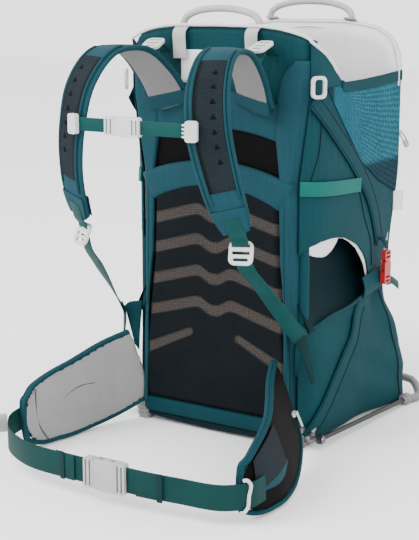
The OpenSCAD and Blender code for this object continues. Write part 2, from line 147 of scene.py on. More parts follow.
def sheetPiece(name, grid, materials, body=None, thickness=1.6, flip=False, fill=None, held="stretched",
               hangsOn=(), **rest):
    # A sheet over a grid of points, given its thickness on the side away from its outer face. With fill it
    # is the crowned face of a pad, otherwise one cloth, whose flat size and area are measured on the
    # modelled grid itself: its longest row, its longest column and its surface.
    faces = gridFaces(*grid.shape[:2])
    piece = meshPiece(name, grid, faces[:, ::-1] if flip else faces, materials, body, uv=gridUv(grid),
                      **rest)
    if thickness:
        solid = piece.modifiers.new("thickness", "SOLIDIFY")
        solid.thickness, solid.offset = thickness / 1000, -1
    if fill is not None:
        return piece
    rows = np.linalg.norm(np.diff(grid, axis=1), axis=2).sum(1)
    columns = np.linalg.norm(np.diff(grid, axis=0), axis=2).sum(0)
    one, two = grid[1:, 1:] - grid[:-1, :-1], grid[1:, :-1] - grid[:-1, 1:]
    area = np.linalg.norm(np.cross(one, two), axis=2).sum() / 2e6
    flat = (rows.max() / 1000, columns.max() / 1000)
    area = min(area, flat[0] * flat[1])
    return piece


def sweepGrid(centre, across, profile, width=1, depth=1):
    # point = centre + side * u * width + out * v * depth, with out square to the line and to the side
    c = np.asarray(centre, float)
    along = unitRows(np.gradient(c, axis=0))
    side = unitRows(across - (across * along).sum(1)[:, None] * along)
    out = np.cross(along, side)
    u, v = np.asarray(profile, float).T
    w, d = np.broadcast_to(width, len(c))[:, None], np.broadcast_to(depth, len(c))[:, None]
    return c[:, None] + side[:, None] * (u * w)[..., None] + out[:, None] * (v * d)[..., None]


def sweptPiece(name, centre, across, profile, materials, body=None, width=1, depth=1, faceSlots=None,
               **rest):
    # A closed profile carried along a line, with both ends closed.
    grid = sweepGrid(centre, across, profile, width, depth)
    n, m = grid.shape[:2]
    faces = gridFaces(n, m, around=True)[:, ::-1].tolist()
    ends = [list(range(m)), list(range((n - 1) * m, n * m))[::-1]]
    down = np.r_[0, np.cumsum(np.linalg.norm(np.diff(centre, axis=0), axis=1))] / 1000
    u = np.asarray(profile, float)[:, 0] * np.broadcast_to(width, n)[:, None] / 1000
    uv = np.stack([u, np.broadcast_to(down[:, None], (n, m))], -1).reshape(-1, 2)
    slots = None if faceSlots is None else list(np.tile(faceSlots, n - 1)) + [0, 0]
    return meshPiece(name, grid, faces + ends, materials, body, uv=uv, faceSlots=slots, **rest)


def roundProfile(points=12):
    a = np.linspace(0, 2 * np.pi, points, endpoint=False)
    return np.stack([np.cos(a), np.sin(a)], 1)


def padProfile(points=28, power=0.45):
    # superellipse: cos and sin raised to a power, so that the middle is nearly flat and the edges are round
    a = np.linspace(0, 2 * np.pi, points, endpoint=False)
    c, s = np.cos(a), np.sin(a)
    return np.stack([np.sign(c) * np.abs(c) ** power, np.sign(s) * np.abs(s) ** (power + 0.35)], 1)


def webProfile(thickness):
    # flat webbing with slightly rounded edges, one unit wide
    t = thickness / 2
    return np.array([[-0.5, -0.5 * t], [-0.47, -t], [0, -t], [0.47, -t], [0.5, -0.5 * t],
                     [0.5, 0.5 * t], [0.47, t], [0, t], [-0.47, t], [-0.5, 0.5 * t]])


def tubePiece(name, points, radius, material, body=None, count=None, reference=(0, 0, 1), **rest):
    c = smoothLine(points, count or 6 * len(points))
    return sweptPiece(name, c, np.broadcast_to(np.array(reference, float), c.shape), roundProfile(),
                      material, body,
                      width=radius, depth=radius, **rest)


def webPiece(name, stations, material, body=None, width=25, thickness=1.8, count=40, **rest):
    # Webbing along stations [x, y, z, across x, y, z].
    s = smoothLine(stations, count)
    return sweptPiece(name, s[:, :3], s[:, 3:6], webProfile(thickness), material, body, width=width, **rest)


# materials
def linear(hexColour):
    rgb = np.array([int(hexColour[i:i + 2], 16) for i in (1, 3, 5)]) / 255
    rgb = np.where(rgb <= 0.04045, rgb / 12.92, ((rgb + 0.055) / 1.055) ** 2.4)
    return (*rgb.tolist(), 1)


def addNode(tree, kind, settings=(), inputs=()):
    node = tree.nodes.new(kind)
    for key, value in dict(settings).items():
        setattr(node, key, value)
    for key, value in dict(inputs).items():
        if isinstance(value, bpy.types.NodeSocket):
            tree.links.new(value, node.inputs[key])
        else:
            node.inputs[key].default_value = value
    return node


def newMaterial(name, surface):
    material = bpy.data.materials.new(name)
    material.use_nodes = True
    tree = material.node_tree
    tree.nodes.clear()
    shader = addNode(tree, "ShaderNodeBsdfPrincipled", inputs=surface)
    addNode(tree, "ShaderNodeOutputMaterial", inputs={"Surface": shader.outputs[0]})
    return material, tree, shader


def waveBands(tree, coordinates, direction, periodMm):
    # a wave texture repeats every 0.314 of its input, so this scale gives one band each period
    return addNode(tree, "ShaderNodeTexWave", {"bands_direction": direction},
                   {"Vector": coordinates, "Scale": 314.16 / periodMm})


def mixColours(tree, factor, first, second):
    return addNode(tree, "ShaderNodeMix", {"data_type": "RGBA"},
                   {0: factor, 6: first, 7: second}).outputs[2]


def raiseSurface(tree, shader, height, strength, metres):
    raised = addNode(tree, "ShaderNodeBump", inputs={"Height": height, "Strength": strength,
                                                     "Distance": metres})
    tree.links.new(raised.outputs[0], shader.inputs["Normal"])


def colourSurface(tree, shader, share, dark, light):
    tree.links.new(mixColours(tree, share, linear(dark), linear(light)), shader.inputs["Base Color"])


def mathNode(tree, operation, first, second=0.5):
    return addNode(tree, "ShaderNodeMath", {"operation": operation}, {0: first, 1: second}).outputs[0]


def wovenCloth(name, dark, light, threadMm=2.2, gridMm=9, depth=0.25, roughness=0.75, fleckMm=5):
    # Plain-woven polyester: two crossed wave textures make the threads, thin wider bands the ripstop grid,
    # and a noise stretched along the warp makes the streaks. The real thread is 0.4 mm; it is drawn coarser
    # so that it shows.
    material, tree, shader = newMaterial(name, {"Roughness": roughness, "Specular IOR Level": 0.1})
    uv = addNode(tree, "ShaderNodeUVMap", {"uv_map": "weave"}).outputs[0]
    warp, weft = waveBands(tree, uv, "X", threadMm), waveBands(tree, uv, "Y", threadMm)
    threads = mathNode(tree, "MULTIPLY", warp.outputs[1], weft.outputs[1])
    lineA, lineB = waveBands(tree, uv, "X", gridMm), waveBands(tree, uv, "Y", gridMm)
    lines = mathNode(tree, "MAXIMUM", lineA.outputs[1], lineB.outputs[1])
    lines = mathNode(tree, "POWER", lines, 14)
    stretched = addNode(tree, "ShaderNodeMapping",
                        inputs={"Vector": uv, "Scale": (1000 / fleckMm, 90 / fleckMm, 1)})
    streak = addNode(tree, "ShaderNodeTexNoise",
                     inputs={"Vector": stretched.outputs[0], "Scale": 1, "Detail": 3})
    place3 = addNode(tree, "ShaderNodeTexCoord").outputs["Object"]
    cloud = addNode(tree, "ShaderNodeTexNoise", inputs={"Vector": place3, "Scale": 14, "Detail": 3})
    shade = mathNode(tree, "ADD", mathNode(tree, "MULTIPLY", streak.outputs[0], 0.55),
                     mathNode(tree, "MULTIPLY", cloud.outputs[0], 0.45))
    shade = mathNode(tree, "ADD", shade, mathNode(tree, "MULTIPLY", threads, 0.16))
    shade = mathNode(tree, "ADD", shade, mathNode(tree, "MULTIPLY", lines, 0.1))
    colourSurface(tree, shader, shade, dark, light)
    height = mathNode(tree, "ADD", threads, mathNode(tree, "MULTIPLY", lines, 0.6))
    raiseSurface(tree, shader, height, depth, 0.0006)
    return material


def ribbedWebbing(name, dark, light, ribMm=2.4, roughness=0.6):
    # Woven polyester webbing: diagonal bands make the twill ribs, and a noise varies the dye.
    material, tree, shader = newMaterial(name, {"Roughness": roughness, "Specular IOR Level": 0.12})
    uv = addNode(tree, "ShaderNodeUVMap", {"uv_map": "weave"}).outputs[0]
    rib = waveBands(tree, uv, "DIAGONAL", ribMm)
    cross = waveBands(tree, uv, "X", ribMm * 1.6)
    height = mathNode(tree, "ADD", rib.outputs[1], mathNode(tree, "MULTIPLY", cross.outputs[1], 0.5))
    place3 = addNode(tree, "ShaderNodeTexCoord").outputs["Object"]
    cloud = addNode(tree, "ShaderNodeTexNoise", inputs={"Vector": place3, "Scale": 25, "Detail": 3})
    shade = mathNode(tree, "ADD", mathNode(tree, "MULTIPLY", height, 0.3),
                     mathNode(tree, "MULTIPLY", cloud.outputs[0], 0.6))
    colourSurface(tree, shader, shade, dark, light)
    raiseSurface(tree, shader, height, 0.35, 0.0006)
    return material


def holedMesh(name, dark, light, cellMm=3.2, share=0.5, tint=None):
    # Knitted spacer mesh: a cell pattern whose cells are the holes and whose borders are the yarn. tint =
    # (attribute, colour) mixes in what lies behind where that attribute is 1; on the side window that
    # colour is painted shadow.
    material, tree, shader = newMaterial(name, {"Roughness": 0.8, "Specular IOR Level": 0.08})
    uv = addNode(tree, "ShaderNodeUVMap", {"uv_map": "weave"}).outputs[0]
    cells = addNode(tree, "ShaderNodeTexVoronoi", {"feature": "F1", "voronoi_dimensions": "2D"},
                    {"Vector": uv, "Scale": 1000 / cellMm, "Randomness": 0.25})
    hole = addNode(tree, "ShaderNodeMapRange",
                   inputs={"Value": cells.outputs[0], "From Min": 0.25, "From Max": 0.62})
    place3 = addNode(tree, "ShaderNodeTexCoord").outputs["Object"]
    cloud = addNode(tree, "ShaderNodeTexNoise", inputs={"Vector": place3, "Scale": 18, "Detail": 2})
    shade = mathNode(tree, "ADD", mathNode(tree, "MULTIPLY", hole.outputs[0], share),
                     mathNode(tree, "MULTIPLY", cloud.outputs[0], 0.5))
    colour = mixColours(tree, shade, linear(dark), linear(light))
    if tint:
        mask = addNode(tree, "ShaderNodeAttribute", {"attribute_name": tint[0]}).outputs[2]
        behind = mixColours(tree, hole.outputs[0], linear(tint[1]), linear(tint[2]))
        colour = mixColours(tree, mask, colour, behind)
    tree.links.new(colour, shader.inputs["Base Color"])
    raiseSurface(tree, shader, hole.outputs[0], 0.5, 0.0008)
    return material


def brushedLining(name, dark, light, roughness=0.9):
    # Brushed tricot over foam: fine fibre noise and broad, soft variation.
    material, tree, shader = newMaterial(name, {"Roughness": roughness, "Specular IOR Level": 0.15})
    place3 = addNode(tree, "ShaderNodeTexCoord").outputs["Object"]
    fibre = addNode(tree, "ShaderNodeTexNoise", inputs={"Vector": place3, "Scale": 900, "Detail": 2})
    cloud = addNode(tree, "ShaderNodeTexNoise", inputs={"Vector": place3, "Scale": 16, "Detail": 3})
    shade = mathNode(tree, "ADD", mathNode(tree, "MULTIPLY", fibre.outputs[0], 0.35),
                     mathNode(tree, "MULTIPLY", cloud.outputs[0], 0.65))
    colourSurface(tree, shader, shade, dark, light)
    raiseSurface(tree, shader, fibre.outputs[0], 0.25, 0.0005)
    return material


def mouldedPlastic(name, dark, light, roughness=0.42, grainMm=0.8):
    # Injection-moulded acetal or nylon: a fine spark-eroded grain and a slightly uneven gloss.
    material, tree, shader = newMaterial(name, {"IOR": 1.48, "Roughness": roughness})
    place3 = addNode(tree, "ShaderNodeTexCoord").outputs["Object"]
    grain = addNode(tree, "ShaderNodeTexNoise",
                    inputs={"Vector": place3, "Scale": 1000 / grainMm, "Detail": 1})
    cloud = addNode(tree, "ShaderNodeTexNoise", inputs={"Vector": place3, "Scale": 40, "Detail": 3})
    colourSurface(tree, shader, cloud.outputs[0], dark, light)
    gloss = addNode(tree, "ShaderNodeMapRange", inputs={
        "Value": cloud.outputs[0], "To Min": roughness - 0.08, "To Max": roughness + 0.12})
    tree.links.new(gloss.outputs[0], shader.inputs["Roughness"])
    raiseSurface(tree, shader, grain.outputs[0], 0.08, 0.0003)
    return material


def drawnMetal(name, dark, light, roughness=0.35, metallic=1.0):
    # Drawn tube: faint lines along it from the die, under a satin anodised or painted finish.
    material, tree, shader = newMaterial(name, {"Metallic": metallic, "Roughness": roughness})
    place3 = addNode(tree, "ShaderNodeTexCoord").outputs["Object"]
    lines = addNode(tree, "ShaderNodeMapping", inputs={"Vector": place3, "Scale": (900, 900, 30)})
    grain = addNode(tree, "ShaderNodeTexNoise",
                    inputs={"Vector": lines.outputs[0], "Scale": 1, "Detail": 2})
    colourSurface(tree, shader, grain.outputs[0], dark, light)
    raiseSurface(tree, shader, grain.outputs[0], 0.05, 0.0002)
    return material


tealCloth = wovenCloth("tealRipstopPolyester", "#022025", "#093a41")
tealStrap = wovenCloth("tealStrapPolyester", "#092931", "#173f49", gridMm=7)
tealBand = wovenCloth("tealBandPolyester", "#022026", "#09373f", gridMm=12)
tealBinding = wovenCloth("tealBindingTape", "#06252b", "#143d46", gridMm=20)
darkCloth = wovenCloth("darkTealPolyester", "#010f13", "#021e24", gridMm=9)
seamThread = brushedLining("darkTealThread", "#011216", "#021b20", roughness=0.8)
# dark grey thread for the hip seam, also used as painted shade along the crease in the hip lining
liningThreadAndCreaseShade = brushedLining("darkGreyThreadAndPaintedCreaseShade", "#3a3a3b", "#49494a", roughness=0.8)
blackCloth = wovenCloth("blackPackcloth", "#010101", "#040303", threadMm=2, gridMm=30, roughness=0.85)
greyLining = brushedLining("lightGreyTricot", "#b9b9b9", "#d7d7d7")
hipLining = brushedLining("greyHipTricot", "#777778", "#908f8f")
strapLining = brushedLining("greyStrapTricot", "#5f5e5f", "#7a7979")
panelMesh = holedMesh("navyBackMesh", "#030609", "#11171c", tint=("groove", "#2a2625", "#47423e"))
insetMesh = holedMesh("darkStrapMesh", "#050a0e", "#20292f", cellMm=2.8,
                      tint=("line", "#050505", "#0e0d0d"))
windowMesh = holedMesh("tealWindowMesh", "#042a35", "#1e5a69", cellMm=6.5, share=0.8,
                       tint=("shadow", "#011921", "#07303b"))
webbing = ribbedWebbing("greenPolyesterWebbing", "#002425", "#044341")
beltWebbing = ribbedWebbing("greenBeltWebbing", "#001f20", "#033634", ribMm=3)
darkWebbing = ribbedWebbing("darkGreenWebbing", "#011616", "#012b2c")
waistWebbing = ribbedWebbing("brightGreenWebbing", "#02413f", "#055c55")
handleCloth = wovenCloth("lightGreyHandleCloth", "#8c8b8d", "#b2b1b2", gridMm=30, roughness=0.8)
whitePlastic = mouldedPlastic("whiteAcetal", "#abadac", "#c1c3c2")
buckleGrey = mouldedPlastic("paleGreyAcetal", "#8c8c8d", "#a4a4a4")
footPlastic = mouldedPlastic("greyNylon", "#626263", "#818181", roughness=0.5)
redPlastic = mouldedPlastic("redAcetal", "#870a0e", "#a81d21", roughness=0.38)
tagPaper = brushedLining("whiteSatinLabel", "#c7c6c7", "#d7d6d7", roughness=0.6)
tubeMetal = drawnMetal("anodisedAluminium", "#717374", "#999a9c")
rodMetal = drawnMetal("blackPaintedSteel", "#0a0b0c", "#1a1a1b", roughness=0.45, metallic=0.2)
standMetal = drawnMetal("greyPaintedSteel", "#5d5f60", "#7b7d7e", roughness=0.45, metallic=0.3)
sheetPlastic = mouldedPlastic("blackPolyethylene", "#070709", "#111113", roughness=0.55)
pinSteel = drawnMetal("brushedSteel", "#555557", "#7f8082", roughness=0.3)
print("materials made")

cadLooks = {
    tubeMetal: ["frame_left_tube", "frame_right_tube", "frame_top_tube", "frame_bottom_tube",
                "rear_left_tube",
                "rear_right_tube", "rear_top_tube"],
    sheetPlastic: ["frame_sheet"], footPlastic: ["front_foot_left", "front_foot_right", "stand_hubs",
                                                 "child_buckle"],
    pinSteel: ["fold_pins"], rodMetal: ["stand_rods"], standMetal: ["stand_rear_tube"],
    whitePlastic: ["side_hooks", "pocket_zip_slider", "pocket_zip_pull", "ladder_lock_left",
                   "ladder_lock_right",
                   "load_lifter_left", "load_lifter_right", "sternum_clips", "sternum_buckle_socket",
                   "sternum_buckle_plug", "sternum_prong_upper", "sternum_prong_lower"],
    buckleGrey: ["hip_buckle_socket", "hip_buckle_plug", "hip_prong_upper", "hip_prong_lower"],
    redPlastic: ["red_buckle_left", "red_buckle_right", "red_plug_left", "red_plug_right"],
}
for look, names in cadLooks.items():
    for name in names:
        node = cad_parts[name]
        node.data.materials.clear()
        node.data.materials.append(look)

# camera
cameraSettings = {"place": (1.105, -1.7585, 0.724), "azimuth": 32.5, "down": 12.2, "lens": 87.6}


def makeCamera(s):
    data = bpy.data.cameras.new("camera")
    data.lens, data.sensor_width = s["lens"], 36
    camera = bpy.data.objects.new("camera", data)
    camera.location = (s["place"][0], s["place"][1] + faceY / 1000, s["place"][2])
    camera.rotation_euler = (math.radians(90 - s["down"]), 0, math.radians(s["azimuth"]))
    bpy.context.scene.collection.objects.link(camera)
    bpy.context.scene.camera = camera


makeCamera(cameraSettings)

def nearestFaces(points, centres):
    # index of the closest centre, a block of points at a time to bound the memory
    blocks = np.array_split(points, max(1, len(points) // 500))
    return np.concatenate([((b[:, None] - centres[None]) ** 2).sum(2).argmin(1) for b in blocks])


def settle(piece, cap, voxel=5, pressure=4, edgeSlot=None):
    # The pad's cover as cloth under air pressure, without gravity: it is remade in even cells, swells for
    # 20 frames, and each point stays within cap millimetres of where it began. Faces of edgeSlot are sewn
    # down and don't move.
    scene, source = bpy.context.scene, piece.data
    count = len(source.polygons)
    centres, slots = np.zeros(count * 3), np.zeros(count, np.int32)
    source.polygons.foreach_get("center", centres)
    source.polygons.foreach_get("material_index", slots)
    centres = centres.reshape(-1, 3)
    corner, loopUv = np.zeros(len(source.loops), np.int32), np.zeros(len(source.loops) * 2, np.float32)
    source.loops.foreach_get("vertex_index", corner)
    source.uv_layers["weave"].data.foreach_get("uv", loopUv)
    pointUv = np.zeros((len(source.vertices), 2), np.float32)
    pointUv[corner] = loopUv.reshape(-1, 2)
    spots = np.zeros(len(source.vertices) * 3)
    source.vertices.foreach_get("co", spots)
    spots = spots.reshape(-1, 3)
    work = bpy.data.objects.new(piece.name + ".cloth", source.copy())
    scene.collection.objects.link(work)
    remesh = work.modifiers.new("even", "REMESH")
    remesh.mode, remesh.voxel_size = "VOXEL", voxel / 1000
    cover = bpy.data.meshes.new_from_object(work.evaluated_get(bpy.context.evaluated_depsgraph_get()))
    work.modifiers.clear()
    work.data = cover
    begin = np.zeros(len(cover.vertices) * 3)
    cover.vertices.foreach_get("co", begin)
    begin = begin.reshape(-1, 3)
    nearPoint = nearestFaces(begin, spots)
    faceCentres = np.zeros(len(cover.polygons) * 3)
    cover.polygons.foreach_get("center", faceCentres)
    slot = slots[nearestFaces(faceCentres.reshape(-1, 3), centres)]
    cloth = work.modifiers.new("cloth", "CLOTH")
    cloth.settings.quality, cloth.settings.mass = 5, 0.3
    cloth.settings.use_pressure, cloth.settings.uniform_pressure_force = True, pressure
    cloth.settings.effector_weights.gravity = 0
    if edgeSlot is not None:
        sewn = slots[nearestFaces(begin, centres)] == edgeSlot
        group = work.vertex_groups.new(name="sewn")
        group.add(np.flatnonzero(sewn).tolist(), 1, "ADD")
        cloth.settings.vertex_group_mass = "sewn"
    for moment in range(1, 21):
        scene.frame_set(moment)
    swollen = work.evaluated_get(bpy.context.evaluated_depsgraph_get()).data
    after = np.zeros(len(begin) * 3)
    swollen.vertices.foreach_get("co", after)
    move = after.reshape(-1, 3) - begin
    far = np.linalg.norm(move, axis=1, keepdims=True)
    after = begin + move * np.minimum(1, cap / 1000 / np.maximum(far, 1e-9))
    scene.frame_set(1)
    work.modifiers.clear()
    cover.vertices.foreach_set("co", after.ravel())
    cover.materials.clear()
    for m in source.materials:
        cover.materials.append(m)
    cover.polygons.foreach_set("material_index", slot.astype(np.int32))
    cover.polygons.foreach_set("use_smooth", np.full(len(cover.polygons), True))
    corner = np.zeros(len(cover.loops), np.int32)
    cover.loops.foreach_get("vertex_index", corner)
    layer = cover.uv_layers.new(name="weave")
    layer.data.foreach_set("uv", pointUv[nearPoint][corner].ravel())
    cover.update()
    piece.data = cover
    bpy.data.objects.remove(work)
    fine = piece.modifiers.new("fine", "SUBSURF")
    fine.levels = fine.render_levels = 1
    print("settled", piece.name, len(cover.vertices), "points, swelling", round(float(far.max()) * 1000, 1),
          "mm")


# back panel
panel = {
    "middles": (363, 314, 262, 210), "grooveHalf": 9.5, "peakX": 37, "rise": 11, "fall": 23,
    "diagonal": ((47, 169), (140, 126)), "ridge": 9,
         "halves": ((40, 170, 262, 300, 383, 426), (138, 136, 126, 121, 118, 117)),
}


def panelTopEdge(x):
    # an arch: 30 mm lower at the sides
    return 414 - 30 * (x / 118) ** 2


def grooveAmount(x, z):
    # 1 inside a groove. A wavy groove rises from the middle to a peak and falls to the edge
    ax = np.abs(x)
    wave = panel["rise"] * step(ax, 4, panel["peakX"]
                                - 6) - panel["fall"] * np.clip((ax - panel["peakX"]) / 83, 0, 1)
    amount = np.zeros_like(x)
    for middle in panel["middles"]:
        amount = np.maximum(amount, step(panel["grooveHalf"] - np.abs(z - middle - wave), -1.2, 2))
    (x0, z0), (x1, z1) = panel["diagonal"]
    share = np.clip((ax - x0) / (x1 - x0), 0, 1)
    away = np.hypot(ax - x0 - share * (x1 - x0), z - z0 - share * (z1 - z0))
    return np.maximum(amount, step(7 + 3 * share - away, -1.2, 2))


def makeBackPanel():
    # the face stands 9 mm out, and sinks into the grooves and to its edges
    s, t = np.meshgrid(np.linspace(-1, 1, 201), np.linspace(0, 1, 261))
    x = s * np.interp(panelLow + t * (panelTop - panelLow), *panel["halves"])
    z = panelLow - 4 + t * (panelTopEdge(x) - panelLow + 4)
    groove = grooveAmount(x, z)
    rim = step(1 - np.abs(s), 0, 0.08) * step(z, panelLow - 4, panelLow + 12)
    y = -3 - rim * (panel["ridge"] * (1 - 0.3 * groove) + 5 * bump(z, 105,
                                                                   100) * (1 - 0.5 * s**2)
                    * (1 - 0.15 * groove))
    sheetPiece("backPanel", np.stack([x, y, z], -1), panelMesh, "pack", thickness=4,
                       replaces=["back_foam", "back_mesh"], slot="mesh", masks={"groove": groove}, fill=0.7)


makeBackPanel()
print("back panel made")

# harness side of the body
frontRim = ((0, 82, 111, 130, 140, 152, 164), (664, 663, 660, 656, 653, 649, 642))
rearRim = ((0, 67, 105, 130, 149, 162, 171, 174, 174), (664, 664, 659, 654, 643, 630, 610, 586, 560))
wallHem = ((0, 11, 35, 56, 75, 90, 100, 165, 240, 312), (642, 635, 622, 607, 590, 578, 576, 577, 580, 584))


def rimZ(x):
    return np.interp(np.abs(x), *frontRim)


def makeUpperPanel():
    # a little crowned, rolling back over the rim and round the corners
    s, t = np.meshgrid(np.linspace(-1, 1, 121), np.linspace(0, 1, 91))
    z = 372 + t * (rimZ(s * rimHalf) - 372)
    x = s * np.interp(z, (372, 430, 556, 620), (139, 143, 162, rimHalf))
    y = -0.4 - 1.2 * bump(s, 0, 1.1) * step(t, 0, 0.4) + 9 * step(t, 0.96, 1) ** 2 + 14 * step(np.abs(s),
                                                                                               0.88, 1) ** 2
    y = y + 1.5 * np.exp(-((np.abs(x) - 84 - 0.12 * (z - 500)) / 3) ** 2) * step(z, 540, 575)
    sheetPiece("upperPanel", np.stack([x, y, z], -1), tealCloth, "pack", replaces=["front_cover"],
               slot="teal_cloth",
               thickness=2)
    label = {"x": (-67, -24), "z": (574, 626)}
    s, t = np.meshgrid(np.linspace(0, 1, 9), np.linspace(0, 1, 9))
    x, z = label["x"][0] + s * 43, label["z"][0] + t * 52
    sheetPiece("blankLabel", np.stack([x, 0 * x - 2.3, z], -1), tagPaper, "pack", thickness=0.5)


def makeWindow():
    # black stretch panel of the torso adjuster, hollow towards its middle
    s, t = np.meshgrid(np.linspace(-1, 1, 61), np.linspace(0, 1, 21))
    x = s * (122 - 8 * t)
    z = 430 + t * (88 - 24 * s**2)
    y = -2.9 + 0.9 * bump(s, 0, 1) * bump(t, 0.5, 0.6)
    sheetPiece("adjusterWindow", np.stack([x, y, z], -1), blackCloth, "pack", thickness=1)


def crownedBand(name, lowEdge, topEdge, halves, front, depth, material, **rest):
    # between two edges that are functions of x; y = front - depth * (1 - (2t - 1)^4)^0.5
    s, t = np.meshgrid(np.linspace(-1, 1, 91), np.linspace(0, 1, 17))
    x = s * (halves[0] + t * (halves[1] - halves[0]))
    low, top = lowEdge(x), topEdge(x)
    y = front - depth * np.sqrt(np.clip(1 - (2 * t - 1) ** 4, 0, 1)) + 5 * step(np.abs(s), 0.94, 1)
    return sheetPiece(name, np.stack([x, y, low + t * (top - low)], -1), material, "pack", thickness=3,
                      fill=0.6,
                      **rest)


def makeBands():
    crownedBand("lumbarBand", lambda x: 411 - 30 * (x / 118) ** 2, lambda x: 454 - 29 * (x / 142) ** 2,
                (120, 142), -8, 5.5,
                tealStrap, slot="teal_cloth")
    crownedBand("bottomBand", lambda x: 17 + 0 * x, lambda x: 44 + 0 * x, (141, 141), -5, 8, tealBand,
                slot="teal_cloth")
    crownedBand("bottomRoll", lambda x: 4 + 6 * (x / 150) ** 2, lambda x: 19 + 0 * x, (138, 140), 0, 7,
                darkCloth)


stripInner = ((20, 60, 170, 262, 300, 383, 432, 503, 560, 590, 604, 612),
              (139, 138, 135, 125, 120, 117, 117, 107, 111, 119, 129, 142))
stripOuter = ((20, 120, 430, 556, 612), (150, 146, 145, 164, 165))


def makeTubeSleeve(side):
    # cloth sleeve round the frame tube beside the leg opening
    low, high = [corner * 1000 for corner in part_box("frame_right_tube")]
    radius = (high.x - low.x) / 2 + 2
    x, y = (low.x + high.x) / 2, (low.y + high.y) / 2 - faceY
    tubePiece(f"tubeSleeve.{'R' if side > 0 else 'L'}", [[x, y, 60], [x, y, 200], [x, y, 345]], radius,
              tealCloth, "pack",
              count=40, reference=(1, 0, 0), side=side)


def makeStrip(side):
    # padded strip that turns the corner from the harness face to the side wall, a quarter circle of 20 mm
    # in plan
    s, t = np.meshgrid(np.linspace(0, 1, 33), np.linspace(0, 1, 101))
    z = 22 + t * 592
    inner, outer = np.interp(z, *stripInner), np.interp(z, *stripOuter)
    angle = np.clip((s - 0.5) / 0.5, 0, 1) * np.pi / 2
    x = np.where(s < 0.5, inner + (outer - 14 - inner) * s * 2, outer - 14 + 14 * np.sin(angle))
    y = np.where(s < 0.5, 0, 20 * (1 - np.cos(angle)))
    pad = 6 * np.sqrt(np.clip(1 - (2 * np.clip(s / 0.62, 0, 1) - 1) ** 6, 0, 1)) * step(t, 0,
                                                                                        0.03) * step(1 - t,
                                                                                                     0, 0.1)
    seam = 2 * np.exp(-((s - 0.36) / 0.035) ** 2) * step(0.66 - t, 0, 0.06)
    sheetPiece(f"sideStrip.{'R' if side > 0 else 'L'}", np.stack([x, y - 4.5 - pad + seam, z], -1),
               tealStrap, "pack",
               thickness=2.5, side=side, slot="strap_cloth", fill=0.6)


makeUpperPanel()
makeWindow()
makeBands()
for side in (1, -1):
    makeStrip(side)
    makeTubeSleeve(side)
print("harness side made")

# cockpit walls
legArch = ((-4, 0, 15, 35, 60, 80, 106, 130, 155, 180, 194, 205, 212, 222, 312),
           (302, 312, 327, 333, 334.5, 333, 329, 320, 309, 291, 279, 262, 250, 244, 243))


def wallX(y, z):
    # plan of the side: a rounded front corner, then straight, drawn in low down at the rear
    front = np.interp(z, (0, 430, 560), (146, 145, 164))
    drawn = 15 * step(y, 150, 300) * step(440 - z, 0, 190)
    return front + (173 - front) * (1 - np.exp(-np.clip(y, 0, None) / 20)) - drawn + 2.5 * np.sin(
        np.pi * np.clip(y / 310, 0, 1)) * np.sin(np.pi * np.clip((z - 240) / 340, 0, 1))


def hemAt(y):
    return np.interp(y, *wallHem)


def legAt(y):
    return np.interp(y, *legArch)


def wallGrid(yRange, low, top, lift=0.0, counts=(61, 61)):
    s, t = np.meshgrid(np.linspace(0, 1, counts[0]), np.linspace(0, 1, counts[1]))
    y = yRange[0] + s * (yRange[1] - yRange[0])
    z = low(y) + t * (top(y) - low(y))
    return np.stack([wallX(y, z) + lift, y, z], -1)


def wallLine(points, lift, count=60):
    # a line on the wall through points (y, z), with the direction across it in the wall
    q = smoothLine(points, count)
    x = wallX(q[:, 0], q[:, 1]) + lift
    line = np.stack([x, q[:, 0], q[:, 1]], -1)
    run = np.gradient(q, axis=0)
    return line, np.stack([0 * x, -run[:, 1], run[:, 0]], -1)


def blended(piece):
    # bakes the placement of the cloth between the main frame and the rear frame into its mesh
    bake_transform(piece)
    return piece


def seamTube(name, points, side=1, radius=0.9, lift=0.0, material=None):
    line = wallLine(points, lift)[0]
    return blended(tubePiece(name, line, radius, material or seamThread, None, count=60,
                             reference=(1, 0, 0), side=side))


